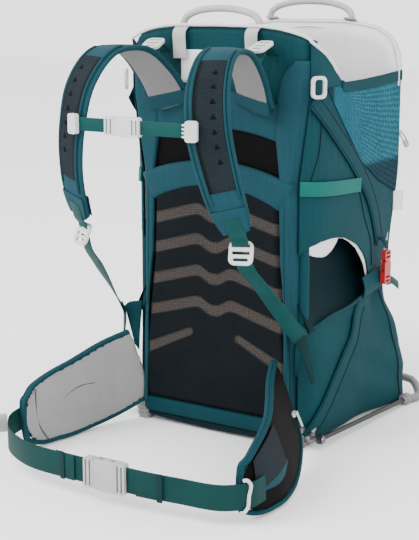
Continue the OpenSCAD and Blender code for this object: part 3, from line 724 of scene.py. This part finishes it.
def makeSide(side):
    tag = "R" if side > 0 else "L"
    blended(sheetPiece(f"sideWall.{tag}", wallGrid((2, rearY - 2), legAt, hemAt, counts=(101, 81)),
                       tealCloth, thickness=2,
                       side=side, replaces=[f"side_panel_{'right' if side > 0 else 'left'}"],
                       slot="teal_cloth",
                       hangsOn=[f"frame_{'right' if side > 0 else 'left'}_tube",
                                f"rear_{'right' if side > 0 else 'left'}_tube"]))
    blended(sheetPiece(f"topHem.{tag}", wallGrid((88, rearY - 1), lambda y: hemAt(y) - 15,
                                                 lambda y: hemAt(y) + 1.5, 2.2,
                                                 (51, 9)), tealBand, thickness=3, side=side))
    # the window's lower edge follows the diagonal strap, then sinks to the rear
    window = wallGrid((40, rearY - 6), lambda y: np.interp(y, (40, 48, 108, 158, 223, 291, 304),
                                                           (569, 561, 496, 445, 408, 382, 378)),
                      lambda y: np.minimum(hemAt(y) - 13, 572), 1.4, (61, 41))
    # painted shadow on the mesh window: darker below z 446 and towards its front edge
    shadow = np.maximum(step(446 - window[..., 2], 0, 12), step(64 - window[..., 1], 0, 8))
    blended(sheetPiece(f"meshWindow.{tag}", window, windowMesh, thickness=0.8, side=side,
                       masks={"shadow": shadow}))
    strap = ((3, 556), (62, 506), (140, 440), (190, 388), (232, 330), (252, 300))
    line, across = wallLine(strap, 3.2)
    blended(sweptPiece(f"diagonalStrap.{tag}", line, across, webProfile(2), tealBand, width=29, side=side))
    for offset in (-11, 11):
        c, a = wallLine(strap, 4.2)
        blended(tubePiece(f"strapStitch.{tag}{offset}", c + unitRows(a) * offset, 0.7, seamThread, count=80,
                          reference=(1, 0, 0), side=side))
    line, across = wallLine(((0, 419), (40, 416), (90, 413), (150, 410)), 4)
    blended(sweptPiece(f"waistStrap.{tag}", line, across, webProfile(1.8), waistWebbing, width=23,
                       side=side))
    # light lining: a crescent behind the front of the leg opening and a thin edge behind it
    lining = wallGrid((12, 219), lambda y: legAt(y) - 1 - 26 * np.sin(np.pi * np.clip((y - 6) / 84, 0,
                                                                                      1)) ** 0.8 - 9
                      * step(y, 110, 200),
                      lambda y: legAt(y) + 12, -3.5, (81, 9))
    blended(sheetPiece(f"legLining.{tag}", lining, greyLining, thickness=2, side=side))
    # inner sling that holds the child's thigh
    s, t = np.meshgrid(np.linspace(0, 1, 41), np.linspace(0, 1, 31))
    y, z = 6 + s * (rearY - 24), 190 + 152 * t + 20 * s * (1 - t)
    x = 127 + 38 * np.clip((340 - z) / 145, 0, 1) ** 2.5 + 3 * np.sin(9 * t + 3 * s)
    blended(sheetPiece(f"seatSling.{tag}", np.stack([x, y, z], -1), darkCloth, thickness=2, side=side,
                       slot="teal_cloth", held="hung",
                       hangsOn=[f"sideWall.{tag}"]))
    # seams of the wall
    seamTube(f"wallSeam.{tag}1", ((24, 560), (26, 480), (14, 430)), side, lift=0.6)
    seamTube(f"wallSeam.{tag}2", ((168, 398), (206, 352), (262, 300)), side, lift=0.6)
    seamTube(f"wallSeam.{tag}3", ((150, 404), (176, 352), (214, 300), (226, 262)), side, lift=0.6)


def makeRimPiping():
    y = np.linspace(72, 2, 24)
    right = np.stack([wallX(y, hemAt(y)) + 0.5, y, hemAt(y) + 1], -1)
    x = np.linspace(160, -160, 60)
    front = np.stack([x, -1 + 7 * step(np.abs(x), 120, 164), rimZ(x) + 1], -1)
    left = right[::-1] * np.array([-1, 1, 1])
    tubePiece("rimPiping", np.concatenate([right, front, left]), 2.6, greyLining, "pack", count=260,
              reference=(0, 1, 0.3))


def rearGrid(halfScale, lift, edgeRoll, low, counts=(121, 61)):
    # spokes from the rim down: x and z run from the rim's outline to the lower edge, and the edges roll
    # forward
    s, t = np.meshgrid(np.linspace(-1, 1, counts[0]), np.linspace(0, 1, counts[1]))
    rx, rz = np.array(rearRim, float)
    run = np.r_[0, np.cumsum(np.hypot(np.diff(rx), np.diff(rz)))]
    q = np.abs(s) * run[-1]
    x0, z0 = np.sign(s) * np.interp(q, run, rx), np.interp(q, run, rz)
    taper = np.interp(low, (250, 320, 433), (158, 162, 173))
    z = z0 + (low - z0) * t
    x = (x0 + (s * taper - x0) * t) * halfScale
    wide = np.interp(z, (250, 320, 433, 586), (158, 162, 173, 174)) * halfScale
    x = np.where(np.abs(x) > wide, np.sign(x) * wide, x)
    y = rearY + lift + 4 * (1 - (x / 175) ** 2) - edgeRoll * step(np.abs(x) / wide, 0.86,
                                                                  1) ** 2 - 6 * step(0.05 - t, 0, 0.05)
    return np.stack([x, y, z], -1)


def makeRearWall():
    sheetPiece("rearWall", rearGrid(1, 2, 8, 246), tealCloth, "rear_frame", thickness=2,
               replaces=["rear_panel"], slot="teal_cloth",
               hangsOn=["rear_top_tube", "rear_left_tube", "rear_right_tube"])
    lining = rearGrid(1, -22, -3.5, 290)
    t = np.linspace(0, 1, 61)[:, None]
    lining[..., 1] -= 5 * np.sin(np.pi * t) - 25 * step(0.07 - t, 0, 0.07) ** 2
    lining[..., 2] += 4 * step(0.14 - t, 0, 0.08)
    sheetPiece("cockpitLining", lining, greyLining, "rear_frame", thickness=6, flip=True,
                       replaces=["rear_lining"], slot="grey_lining", fill=0.5)
    rim = rearGrid(1, -3, 6, 246)[0]
    tubePiece("rearPiping", rim, 2.2, greyLining, "rear_frame", count=200, reference=(0, 1, 0))
    # blank tag at the rear corner
    s, t = np.meshgrid(np.linspace(0, 1, 5), np.linspace(0, 1, 9))
    tag = np.stack([170 + 9 * s, 298 + 20 * s, 346 + 34 * t], -1)
    sheetPiece("blankTag", tag, tagPaper, "rear_frame", thickness=0.7)


def makeDroolPad():
    # padded bar behind the front rim: a rounded block with a crowned face
    x = np.linspace(-84, 84, 60)
    swell = np.sqrt(np.clip(1 - (x / 86) ** 6, 0.05, 1))
    c = np.stack([x, 34 + 0 * x, 612 + 0 * x], -1)
    piece = sweptPiece("droolPad", c, np.broadcast_to([0, 0, 1.0], c.shape), padProfile(32, 0.5),
                       greyLining, "pack",
                       width=33 * swell, depth=7 * swell, replaces=["drool_pad"], slot="grey_lining")
    settle(piece, 3)


for side in (1, -1):
    makeSide(side)
makeRimPiping()
makeRearWall()
makeDroolPad()
print("cockpit walls made")

# storage bag
bag = {
    "top": ((0, 61, 132, 176, 264, 300), (190, 206, 212, 219, 240, 250)),
    "low": ((0, 37, 93, 167, 254, 330, 360), (6, 7, 10, 10, 8, 7, 9)),
    "rearX": ((10, 69, 118, 158, 197, 240, 262), (190, 189, 185, 179, 172, 163, 161)),
    "rearY": ((10, 69, 118, 158, 180, 197, 215, 240, 262), (340, 337, 326, 311, 300, 291, 290, 297, 306)),
}


def smoothRows(controls, count):
    # Catmull-Rom along the first axis, with even steps between the control rows
    q = np.linspace(0, len(controls) - 1, count)
    i = np.clip(q.astype(int), 0, len(controls) - 2)
    t = (q - i).reshape(-1, *[1] * (controls.ndim - 1))
    slope = np.gradient(controls, axis=0)
    a, b, da, db = controls[i], controls[i + 1], slope[i], slope[i + 1]
    return hermite(t, a, b, da, db)


def bagBlended(piece):
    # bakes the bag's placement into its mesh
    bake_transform(piece)
    return piece


def makeBag():
    # half plan at each height: along the side, round the rear corner and to the middle of the rear
    t = np.linspace(0, 1, 49)
    z = 8 + 246 * t
    rx, ry = np.interp(z, *bag["rearX"]), np.interp(z, *bag["rearY"])
    belly = np.sin(np.pi * np.clip(t * 1.15, 0, 1)) ** 0.8
    plan = np.array([[150 + 0 * z, 0 + 0 * z], [166 + 6 * belly, 34 + 0 * z],
                     [172 + 8 * belly, 110 + 0 * z],
                     [172 + 9 * belly, 190 + 0 * z], [rx - 1, ry - 62], [rx, ry - 26], [rx - 7, ry - 7],
                     [rx - 26, ry + 1],
                     [rx * 0.45, ry + 1.5], [0 * z, ry + 1.5]])
    half = smoothRows(plan, 110)
    xy = np.concatenate([half, (half * np.array([-1, 1])[None, :, None])[-2::-1]])
    x, y = xy[:, 0].T, xy[:, 1].T
    share = t[:, None]
    low, top = np.interp(y, *bag["low"]), np.interp(y, *bag["top"])
    z = low + share * (top - low)
    x = x + 1.5 * np.sign(x) * np.sin(z / 11 + y / 23) * belly[:, None] * step(y, 60, 160)
    grid = np.stack([x, y, z], -1)
    piece = sheetPiece("storageBag", grid, tealCloth, thickness=2, replaces=["storage_bag"],
                       slot="teal_cloth", held="hung",
                       hangsOn=["sideWall.R", "sideWall.L", "rearWall"])
    bagBlended(piece)
    return grid


bagGrid = makeBag()


def bagX(y, z):
    # outside of the bag's right wall at a place, from the nearest points of its grid
    right = bagGrid[:, :78].reshape(-1, 3)
    d = (right[None, :, 1] - np.asarray(y)[:, None]) ** 2 + (right[None, :, 2] - np.asarray(z)[:,
                                                                                               None]) ** 2
    w = 1 / (d + 9) ** 2
    return (w * right[None, :, 0]).sum(1) / w.sum(1)


def bagLine(points, lift, count=50):
    q = smoothLine(points, count)
    line = np.stack([bagX(q[:, 0], q[:, 1]) + lift, q[:, 0], q[:, 1]], -1)
    run = np.gradient(q, axis=0)
    return line, np.stack([0 * run[:, 0], -run[:, 1], run[:, 0]], -1)


def makeBagDetails(side):
    tag = "R" if side > 0 else "L"
    sleeve = ((170, 208), (134, 153), (89, 111), (42, 54), (12, 16))
    line, across = bagLine(sleeve, 2.2)
    bagBlended(sweptPiece(f"poleSleeve.{tag}", line, across, webProfile(2.4), tealCloth, width=31,
                          side=side))
    for offset in (-13, 13):
        bagBlended(tubePiece(f"sleeveStitch.{tag}{offset}", line + unitRows(across) * offset + [1.4, 0, 0],
                             0.7, seamThread,
                          count=60, reference=(1, 0, 0), side=side))
    line, across = bagLine(((4, 190), (61, 205), (132, 211), (172, 218)), 1.6)
    bagBlended(sweptPiece(f"bagBinding.{tag}", line, across, webProfile(2.4), tealBand, width=6, side=side))
    # folded flap where the wall, the bag and the rear meet
    s, t = np.meshgrid(np.linspace(0, 1, 31), np.linspace(0, 1, 21))
    y = 176 + 84 * s
    z = 250 - 36 * t + 6 * s
    x = 174 - 6 * s + 7 * np.sin(np.pi * t) * (0.6 + 0.4 * s) + 2.5 * t
    bagBlended(sheetPiece(f"cornerFlap.{tag}", np.stack([x, y, z], -1), tealCloth, thickness=2, flip=True,
                          side=side))
    line = bagLine(((256, 212), (276, 150), (292, 90), (300, 20)), 0.8)[0]
    bagBlended(tubePiece(f"rearSeam.{tag}", line, 1.1, seamThread, count=60, reference=(1, 0, 0),
                         side=side))


for side in (1, -1):
    makeBagDetails(side)
print("storage bag made")

# shoulder harness
strap = {
    "path": [[78, -14, 538, 0.83, 0, -0.5, 72], [85, -48, 588, 0.94, 0, -0.25, 67],
             [93, -104, 629, 1, 0, -0.05, 60],
             [102, -164, 625, 1, 0.1, 0, 58], [112, -204, 580, 1, 0.25, 0, 62],
             [120, -214, 526, 1, 0.34, 0, 62],
             [131, -206, 462, 1, 0.4, 0, 58], [139, -184, 402, 1, 0.4, 0, 50],
             [142, -168, 374, 1, 0.4, 0, 38]],
    "inset": (0.44, 0.84),
}


class Ribbon:
    # A band in space: at(s, u, v) is the point at share s of its length, u across it as a share of its half
    # width, and v millimetres out of its middle surface.
    def __init__(self, stations, count=160):
        line = smoothLine(stations, count)
        self.centre, self.width = line[:, :3], line[:, 6] / 2
        along = unitRows(np.gradient(self.centre, axis=0))
        self.side = unitRows(line[:, 3:6] - (line[:, 3:6] * along).sum(1)[:, None] * along)
        self.out = np.cross(along, self.side)
        self.steps = np.linspace(0, 1, count)
        self.length = np.linalg.norm(np.diff(self.centre, axis=0), axis=1).sum()

    def at(self, s, u, v):
        s, u, v = np.broadcast_arrays(*[np.asarray(k, float) for k in (s, u, v)])
        c, a, o = [np.stack([np.interp(s, self.steps, k[:, i]) for i in range(3)], -1) for k in
                   (self.centre, self.side, self.out)]
        return c + a * (u * np.interp(s, self.steps, self.width))[..., None] + o * v[..., None]

    def sheet(self, name, sRange, uRange, v, material, counts=(61, 13), thickness=0.8, crown=0.0, **rest):
        # v is the height of the sheet, plus a crown that falls to the edges as a parabola
        u, s = np.meshgrid(np.linspace(*uRange, counts[1]), np.linspace(*sRange, counts[0]))
        grid = self.at(s, u, v + crown * (1 - u**2))
        return sheetPiece(name, grid, material, thickness=thickness, **rest)


rightStrap = Ribbon(strap["path"])


def crossPad(count=36):
    # a flat pad with round edges: superellipse |u|^3.2 + |v|^2.4 = 1
    a = np.linspace(0, 2 * np.pi, count, endpoint=False)
    c, s = np.cos(a), np.sin(a)
    return np.stack([np.sign(c) * np.abs(c) ** 0.62, np.sign(s) * np.abs(s) ** 0.84], 1)


def padSlots(profile, edge=0.86):
    # 0 on the outer face, 1 on the inner face, 2 along the edges
    middle = (profile + np.roll(profile, -1, 0)) / 2
    return np.where(np.abs(middle[:, 0]) > edge, 2, np.where(middle[:, 1] > 0, 0, 1))


def makeStrap(side):
    tag = "R" if side > 0 else "L"
    name = "right" if side > 0 else "left"
    r = rightStrap
    profile = crossPad()
    ends = np.sqrt(np.clip(1 - np.abs(2 * r.steps - 1) ** 60, 0.35, 1))
    piece = sweptPiece(f"shoulderPad.{tag}", r.centre, r.side, profile, [tealStrap, strapLining, tealBand],
                       "yoke",
                       width=r.width * ends, depth=5.6, faceSlots=padSlots(profile), side=side,
                       replaces=[f"shoulder_strap_{name}"], slot="strap_cloth")
    s = np.linspace(0.03, 0.975, 110)
    for edge in (-1, 1):
        tubePiece(f"strapBinding.{tag}{edge}", r.at(s, edge * 0.965, 1.2), 3.4, tealBinding, "yoke",
                  count=150,
                  reference=(0.3, 1, 0.2), side=side)
    low, high = strap["inset"]
    lines = np.broadcast_to(np.exp(-((np.linspace(-0.66, 0.78, 17) + 0.56) / 0.09) ** 2), (71, 17))
    r.sheet(f"strapInset.{tag}", (low, high), (-0.66, 0.78), 5.4, insetMesh, (71, 17), crown=1.1,
            body="yoke", side=side,
            masks={"line": lines}, flip=True)
    tubePiece(f"strapRail.{tag}", r.at(np.linspace(0.36, 0.88, 60), -0.73, 5.4), 2.6, tealBinding, "yoke",
              count=90,
              reference=(0.3, 1, 0.2), side=side)
    tubePiece(f"strapRail2.{tag}", r.at(np.linspace(0.38, 0.87, 60), 0.83, 5.2), 1.8, tealBinding, "yoke",
              count=90,
              reference=(0.3, 1, 0.2), side=side)
    # cloth patches over both ends: the top one closes the light lining in a straight edge
    for part, ends in (("Top", (0.004, 0.055)), ("Foot", (0.9, 0.985))):
        for v in (-6.4, 6.4):
            r.sheet(f"strapPatch{part}.{tag}{v}", ends, (-1, 1), v, tealStrap, (11, 13),
                    crown=0.4 * np.sign(v), body="yoke",
                    side=side, flip=v > 0)
    # seven small anti-slip arrows on the inset
    points, faces = [], []
    for k in range(7):
        s0 = 0.475 + k * 21 / r.length
        base = r.at([s0, s0 + 0.014, s0 + 0.014], [0.30, 0.17, 0.43], [6.3, 6.3, 6.3])
        top = r.at([s0, s0 + 0.014, s0 + 0.014], [0.30, 0.17, 0.43], [7.4, 7.4, 7.4])
        n = len(points) * 6
        points.append(np.concatenate([base, top]))
        faces += [[n, n + 2, n + 1], [n + 3, n + 4, n + 5]] + [[n + a, n + b, n + 3 + b, n + 3 + a] for a,
                                                               b in
                                                             ((0, 1), (1, 2), (2, 0))]
    meshPiece(f"gripArrows.{tag}", np.concatenate(points), faces, blackCloth, "yoke", side=side,
              uv=np.zeros((42, 2)))
    # webbing from the pad's foot into the adjuster, and on down to the hip
    foot = r.at([0.93, 0.97, 1.0], 0, 6.6)
    web = [[*p, 1, 0.4, 0] for p in foot] + [[142.6, -167, 363, 1, 0.4, 0], [142.8, -165.5, 357, 1, 0.4, 0]]
    webPiece(f"padWebbing.{tag}", web, webbing, "yoke", width=25, side=side)
    run = [[143.5, -160, 343, 1, 0.4, 0], [144, -155, 328, 1, 0.4, 0], [150, -120, 290, 1, 0.3, 0],
           [159, -72, 239, 0.8, 0.5, 0.2], [168, -26, 190, 0.6, 0.6, 0.4]]
    piece = webPiece(f"shoulderWebbing.{tag}", run, webbing, width=25, side=side,
                     replaces=[f"shoulder_webbing_{name}"], slot="webbing")
    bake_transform(piece)
    tail = smoothLine([[164, -34, 202, 0.7, 0.6, 0.3], [169, -24, 184, 0.7, 0.6, 0.3],
                       [177, -16, 150, 0.6, 0.7, 0.2],
                       [184, -12, 118, 0.5, 0.8, 0.1]], 40)
    sweptPiece(f"webbingTail.{tag}", tail[:, :3], tail[:, 3:], webProfile(2), darkWebbing, "pack",
               width=np.linspace(23, 7, 40), side=side)
    fin = np.array([[[150, 2, 205], [150, -6, 160], [151, -8, 120]],
                    [[168, -10, 203], [164, -12, 172], [156, -10, 128]],
                    [[176, -16, 196], [170, -12, 176], [158, -10, 132]]], float)
    grid = smoothRows(smoothRows(fin, 15).transpose(1, 0, 2), 15)
    sheetPiece(f"webbingFin.{tag}", grid, tealBand, "pack", thickness=2, side=side)
    # load lifter: from the rim through its buckle to the top of the pad
    web = [[99, -2, 622, 1, 0, 0], [99, -14, 631, 1, 0, 0], [98.6, -28, 634, 1, 0, 0],
           [98, -40, 622, 1, 0, 0],
           [96, -52, 604, 1, 0, 0], [95, -56, 596, 1, 0, 0]]
    piece = webPiece(f"lifterWebbing.{tag}", web, webbing, width=20, side=side,
                     replaces=["load_lifter_webbing"] if side > 0 else (),
                     slot="webbing" if side > 0 else None)
    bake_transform(piece)


def makeYoke():
    # padded yoke between the straps: y = -6 - 3 * crown, lower at its ends
    s, t = np.meshgrid(np.linspace(-1, 1, 81), np.linspace(0, 1, 31))
    x = s * 116
    low, top = 506 - 18 * s**2, 566 - 20 * np.abs(s) ** 1.6
    crown = np.sqrt(np.clip(1 - (2 * t - 1) ** 4, 0, 1)) * np.sqrt(np.clip(1 - s**8, 0, 1))
    sheetPiece("yokePad", np.stack([x, -6 - 3 * crown, low + t * (top - low)], -1), tealStrap, "yoke",
               thickness=2.5,
                       replaces=["yoke_plate"], slot="strap_cloth", fill=0.7)


def makeChest():
    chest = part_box("sternum_webbing_right")[0] * 1000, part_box("sternum_webbing_right")[1] * 1000
    y = chest[0].y - faceY + 0.9
    up = [0, 0, 1]
    webPiece("chestWebbing.R", [[chest[0].x, y, 526, *up], [80, y - 1, 526, *up], [97, y, 526, *up]],
             webbing, "sternum_strap",
             width=20, replaces=["sternum_webbing_right"], slot="webbing")
    piece = webPiece("chestWebbing.L", [[-97, y, 526, *up], [-75, y - 1, 526, *up], [-48.4, y, 526, *up]],
                     webbing, width=20,
                     replaces=["sternum_webbing_left"], slot="webbing")
    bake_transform(piece)
    for x in (58, 62):
        tubePiece(f"chestStitch.{x}", [[x, y - 1.2, 518], [x, y - 1.2, 534]], 0.6, seamThread,
                  "sternum_strap", count=6,
                  reference=(1, 0, 0))
    # comb-like slider on the right clip: four bars
    for k in range(4):
        z = 518 + 5.4 * k
        tubePiece(f"clipBar.{k}", [[89, y - 3.4, z], [98, y - 4.2, z], [108, y - 2.4, z]], 1.7,
                  whitePlastic, "sternum_strap",
                  count=10)


for side in (1, -1):
    makeStrap(side)
makeYoke()
makeChest()
print("shoulder harness made")

# hip belt
hip = {
    "right": [[134, -17, 98, -31, -14, 113, 116], [164, -68, 86, -38, -24, 109, 120],
              [196, -128, 71, -34, -34, 119, 124],
              [222, -188, 61, -32, -22, 117, 116], [234, -240, 55, -24, -18, 105, 104],
              [233, -284, 50, -10, -12, 89, 84],
              [226, -304, 50, -4, -8, 70, 64]],
    "left": [[148, -9, 100, 0, 0, 1, 124], [174, -60, 80, 0.02, 0, 1, 132],
             [192, -118, 65, 0.1, -0.03, 1, 122],
             [203, -178, 57, 0.16, -0.02, 1, 108], [210, -218, 50, 0.14, 0, 1, 88],
             [211, -240, 50, 0.1, 0, 1, 62]],
    "half": 8,
}
hipRibbon = {1: Ribbon(hip["right"]), -1: Ribbon(hip["left"])}


def makeHipPad(side):
    # v points inwards on these ribbons, so the light lining is on the side of +v
    tag = "R" if side > 0 else "L"
    r = hipRibbon[side]
    profile = crossPad(40)
    slots = padSlots(profile, 0.93)
    slots = np.where(slots == 2, 2, 1 - slots)
    ends = np.sqrt(np.clip(1 - np.clip(r.steps * 1.02 - 0.02, 0, 1) ** 26, 0.25, 1))
    crown = hip["half"] * (0.86 + 0.14 * np.sin(np.pi * r.steps))
    piece = sweptPiece(f"hipPad.{tag}", r.centre, r.side, profile, [blackCloth, hipLining, tealBinding],
                       "pack",
                       width=r.width * ends, depth=crown, faceSlots=slots, side=side,
                       replaces=[f"hip_pad_{'right' if side > 0 else 'left'}"], slot="hip_lining")
    settle(piece, 4, edgeSlot=2)
    # binding right round the pad's edge, in two cords
    s, turn = np.linspace(0.01, 0.985, 60), np.linspace(0, np.pi, 14)[1:-1]
    tip = 0.985 + 0.014 * np.sin(turn)
    for k, (v, radius, material) in enumerate(((1.5, 4.0, tealBinding), (-4.5, 3.2, tealBand))):
        edge = np.concatenate([r.at(s, 0.97, v), r.at(tip, 0.97 * np.cos(turn), v),
                               r.at(s[::-1], -0.97, v)])
        tubePiece(f"hipBinding.{tag}{k}", edge, radius, material, "pack", count=260,
                  reference=(0.2, 0.1, 0.35), side=side)
    # the crease is a dark grey tube along the fold: painted shade in the crease
    crease = r.at(np.linspace(0.36, 0.66, 24), 0.05 + 0.32 * np.sin(np.linspace(0.5, 2.4, 24)) - 0.1,
                  hip["half"] + 0.1)
    tubePiece(f"hipCrease.{tag}", crease, 1.0, liningThreadAndCreaseShade, "pack", count=50, side=side)
    arc = r.at(0.86 + 0.05 * np.sin(np.linspace(0, np.pi, 24)), np.linspace(0.9, -0.9, 24),
               hip["half"] * 0.94)
    tubePiece(f"hipSeam.{tag}", arc, 0.9, liningThreadAndCreaseShade, "pack", count=50, reference=(0.3, 1, 0), side=side)
    # outside: mesh pocket and teal strip
    r.sheet(f"hipPocket.{tag}", (0.62, 0.93), (-0.2, 0.86), -hip["half"] - 0.4, insetMesh, (41, 17),
            body="pack", side=side,
            masks={"line": np.zeros((41, 17))}, crown=-1.5)
    u, s = np.meshgrid(np.linspace(-1, 1, 9), np.linspace(0, 1, 31))
    leaf = r.at(0.6 + 0.32 * s, -0.22 + 0.2 * u * np.sin(np.pi * np.clip(s, 0.02, 0.98)),
                -hip["half"] - 1.6)
    sheetPiece(f"hipLeaf.{tag}", leaf, tealBinding, "pack", thickness=1, side=side)


def makeBelt():
    z = [0, 0, 1]
    right = [[247, -268, 44], [243, -298, 42], [222, -325, 42], [150, -342, 43], [84.4, -351, 45],
             [70.2, -351, 45]]
    webPiece("beltWebbing.R", [[*p, *z] for p in right], beltWebbing, "pack", width=38, count=70,
             replaces=["hip_webbing_right"], slot="webbing")
    left = [[-224, -226, 50], [-217, -264, 48], [-190, -302, 45], [-134, -336, 44], [-17.4, -351, 45],
            [-3.4, -351, 45]]
    piece = webPiece("beltWebbing.L", [[*p, *z] for p in left], beltWebbing, width=38, count=70,
                     replaces=["hip_webbing_left"], slot="webbing")
    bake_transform(piece)
    # doubled ends and keepers beside the buckle
    webPiece("beltFold.R", [[88, -353.4, 45, *z], [104, -352, 45, *z], [128, -348.5, 44, *z]], beltWebbing,
             "pack", width=39)
    webPiece("beltKeeper.R", [[122, -351.4, 44, *z], [126, -350.8, 44, *z], [130, -350, 44, *z]],
             darkWebbing, "pack", width=42)
    webPiece("beltFold.L", [[-58, -348.5, 45, *z], [-40, -351.5, 45, *z], [-21, -353.4, 45, *z]],
             beltWebbing, "hip_plug", width=39)
    webPiece("beltKeeper.L", [[-48, -352, 45, *z], [-44, -352.6, 45, *z], [-40, -353, 45, *z]], darkWebbing,
             "hip_plug", width=42)
    # white hook bar at the right wing and pale tab at the left one
    hook = [[238, -312, 66], [241, -308, 66], [244, -303, 60], [243, -305, 42], [242, -307, 26],
            [239, -312, 20], [236, -316, 20]]
    tubePiece("beltHook", hook, 2.6, whitePlastic, "pack", count=60, reference=(1, 0.2, 0))
    tab = [[-228, -262, 50, *z], [-236, -272, 50, *z], [-240, -284, 50, *z]]
    webPiece("beltTab", tab, buckleGrey, "pack", width=30, thickness=5)


for side in (1, -1):
    makeHipPad(side)
makeBelt()
print("hip belt made")

# handles, seat and small parts
def makeHandle(name, nodeName, footX, y, footZ, top, bodyName, legs):
    # half ellipse, a little flat on top: x = footX * cos(a), z = footZ + rise * sin(a)^0.8
    a = np.linspace(0, np.pi, 60)
    line = np.stack([footX * np.cos(a), y + 0 * a, footZ + (top - footZ) * np.sin(a) ** 0.72], -1)
    sweptPiece(name, line, np.broadcast_to([0, 1.0, 0], line.shape), roundProfile(16), handleCloth,
               bodyName, width=6.2,
               depth=5.4, replaces=[nodeName], slot="handle")
    for side in (1, -1):
        legLine = [[side * legs[0], y - 4, footZ + 3, 1, 0, 0],
                   [side * legs[0], legs[1], footZ - 8, 1, 0, 0],
                   [side * legs[0], legs[1], footZ - 28, 1, 0, 0],
                   [side * legs[0], legs[1] + 1, footZ - 50, 1, 0, 0]]
        webPiece(f"{name}Leg.{side}", legLine, handleCloth,
                 "pack" if bodyName == "front_grab_handle" else "rear_frame",
                 width=24 if side < 0 else 22, thickness=2)


makeHandle("frontHandle", "front_handle", 70, 10, 662, 690, "front_grab_handle", (66, -9))
makeHandle("rearHandle", "rear_handle", 80, rearY - 6, 668, 698, "rear_grab_handle", (76, rearY + 9))


def makeSeat():
    # padded seat: crowned, hollow along the middle, higher at the rear
    s, t = np.meshgrid(np.linspace(-1, 1, 41), np.linspace(0, 1, 41))
    y = 27 + 152 * t
    x = s * (70 + 18 * t)
    edge = np.sqrt(np.clip((1 - s**8) * (1 - (2 * t - 1) ** 8), 0, 1))
    top = np.stack([x, y, 214 + 11 * edge - 6 * (1 - s**2) * edge], -1)
    bottom = np.stack([x, y, 212 - 6 * edge], -1)
    n = top.shape[0] * top.shape[1]
    faces = gridFaces(41, 41)
    rim = np.r_[np.arange(41), np.arange(1, 41) * 41 + 40, 41 * 40 + np.arange(39, -1, -1),
                np.arange(39, 0, -1) * 41]
    nxt = np.roll(rim, -1)
    wall = np.stack([nxt, rim, rim + n, nxt + n], -1)
    points = np.concatenate([top.reshape(-1, 3), bottom.reshape(-1, 3)])
    uv = points[:, :2] / 1000
    piece = meshPiece("childSeat", points, np.concatenate([faces, faces[:, ::-1] + n, wall]), hipLining,
                      "seat", uv=uv,
                      replaces=["child_seat"], slot="hip_lining")
    settle(piece, 4)


def makeChildHarness():
    for side in (1, -1):
        y = rearY - 39
        line = [[36, y, 524, 1, 0, 0], [36, y - 2, 470, 1, 0, 0], [35, y - 2, 410, 1, 0, 0],
                [34, y, 356, 1, 0, 0]]
        s = smoothLine(line, 60)
        profile = crossPad()
        piece = sweptPiece(f"childStrap.{side}", s[:, :3], s[:, 3:], profile, hipLining, width=20,
                           depth=4.6, side=side,
                           replaces=["child_harness"] if side > 0 else ())
        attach(piece, "rear_frame")


makeSeat()
makeChildHarness()


def makeRedStraps(side):
    tag = "R" if side > 0 else "L"
    top = [[171, 250, 306, 0.1, 1, 0.2], [177, 247, 303, 0, 1, 0], [184, 245, 297, 0, 1, 0],
           [184, 245, 290, 0, 1, 0]]
    piece = webPiece(f"redStrapTop.{tag}", top, tealBand, width=14, side=side)
    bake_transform(piece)
    low = [[184, 245, 242, 0, 1, 0], [185, 246, 234, 0, 1, 0.1], [186, 262, 232, -0.3, 0.4, 1],
           [186, 280, 224, -0.3, 0.3, 1],
           [186, 294, 216, -0.3, 0.3, 1]]
    webPiece(f"redStrapTail.{tag}", low, webbing, "rear_frame", width=14, side=side)


def makePullLoop():
    # cord loop on the rear zip's end: an oval tilted rearwards, back to where it starts, with a moulded
    # grip
    a = np.linspace(-0.5 * np.pi, 1.5 * np.pi, 40)
    x = 172 + 5 * np.sin(a) + 5
    loop = np.stack([x, 311 + 7 * np.cos(a) + 7 * (1 + np.sin(a)), 482 - 13 * (1 + np.sin(a))], -1)
    piece = tubePiece("zipPullLoop", loop, 1.5, handleCloth, "rear_frame", count=80, reference=(1, 0.3, 0))
    grip = tubePiece("zipPullGrip", [[178, 318, 464], [179, 321, 459], [180, 324, 454]], 3.2, buckleGrey,
                     "rear_frame", count=12,
                     reference=(1, 0, 0))


makePullLoop()
for side in (1, -1):
    makeRedStraps(side)
print("small parts made")


# floor, light
def makeStudio():
    mesh = bpy.data.meshes.new("floor")
    mesh.from_pydata([(-9, -9, 0), (9, -9, 0), (9, 9, 0), (-9, 9, 0)], [], [(0, 1, 2, 3)])
    floor = bpy.data.objects.new("floor", mesh)
    bpy.context.scene.collection.objects.link(floor)
    material = newMaterial("paleFloor", {"Base Color": linear("#f4f4f4"), "Roughness": 0.9})[0]
    mesh.materials.append(material)
    world = bpy.data.worlds.new("studio")
    bpy.context.scene.world = world
    world.use_nodes = True
    background = world.node_tree.nodes["Background"]
    background.inputs[0].default_value = (1, 1, 1, 1)
    background.inputs[1].default_value = 2.3
    for name, spot, size, power in (("key", (-1.6, -2.2, 2.6), 2.0, 130),
                                    ("fill", (2.4, -1.4, 1.6), 2.0, 40)):
        light = bpy.data.lights.new(name, "AREA")
        light.energy, light.size = power, size
        lamp = bpy.data.objects.new(name, light)
        lamp.location = spot
        direction = np.array([0, 0, 0.3]) - np.array(spot)
        lamp.rotation_euler = Vector(direction).to_track_quat("-Z", "Y").to_euler()
        bpy.context.scene.collection.objects.link(lamp)


makeStudio()
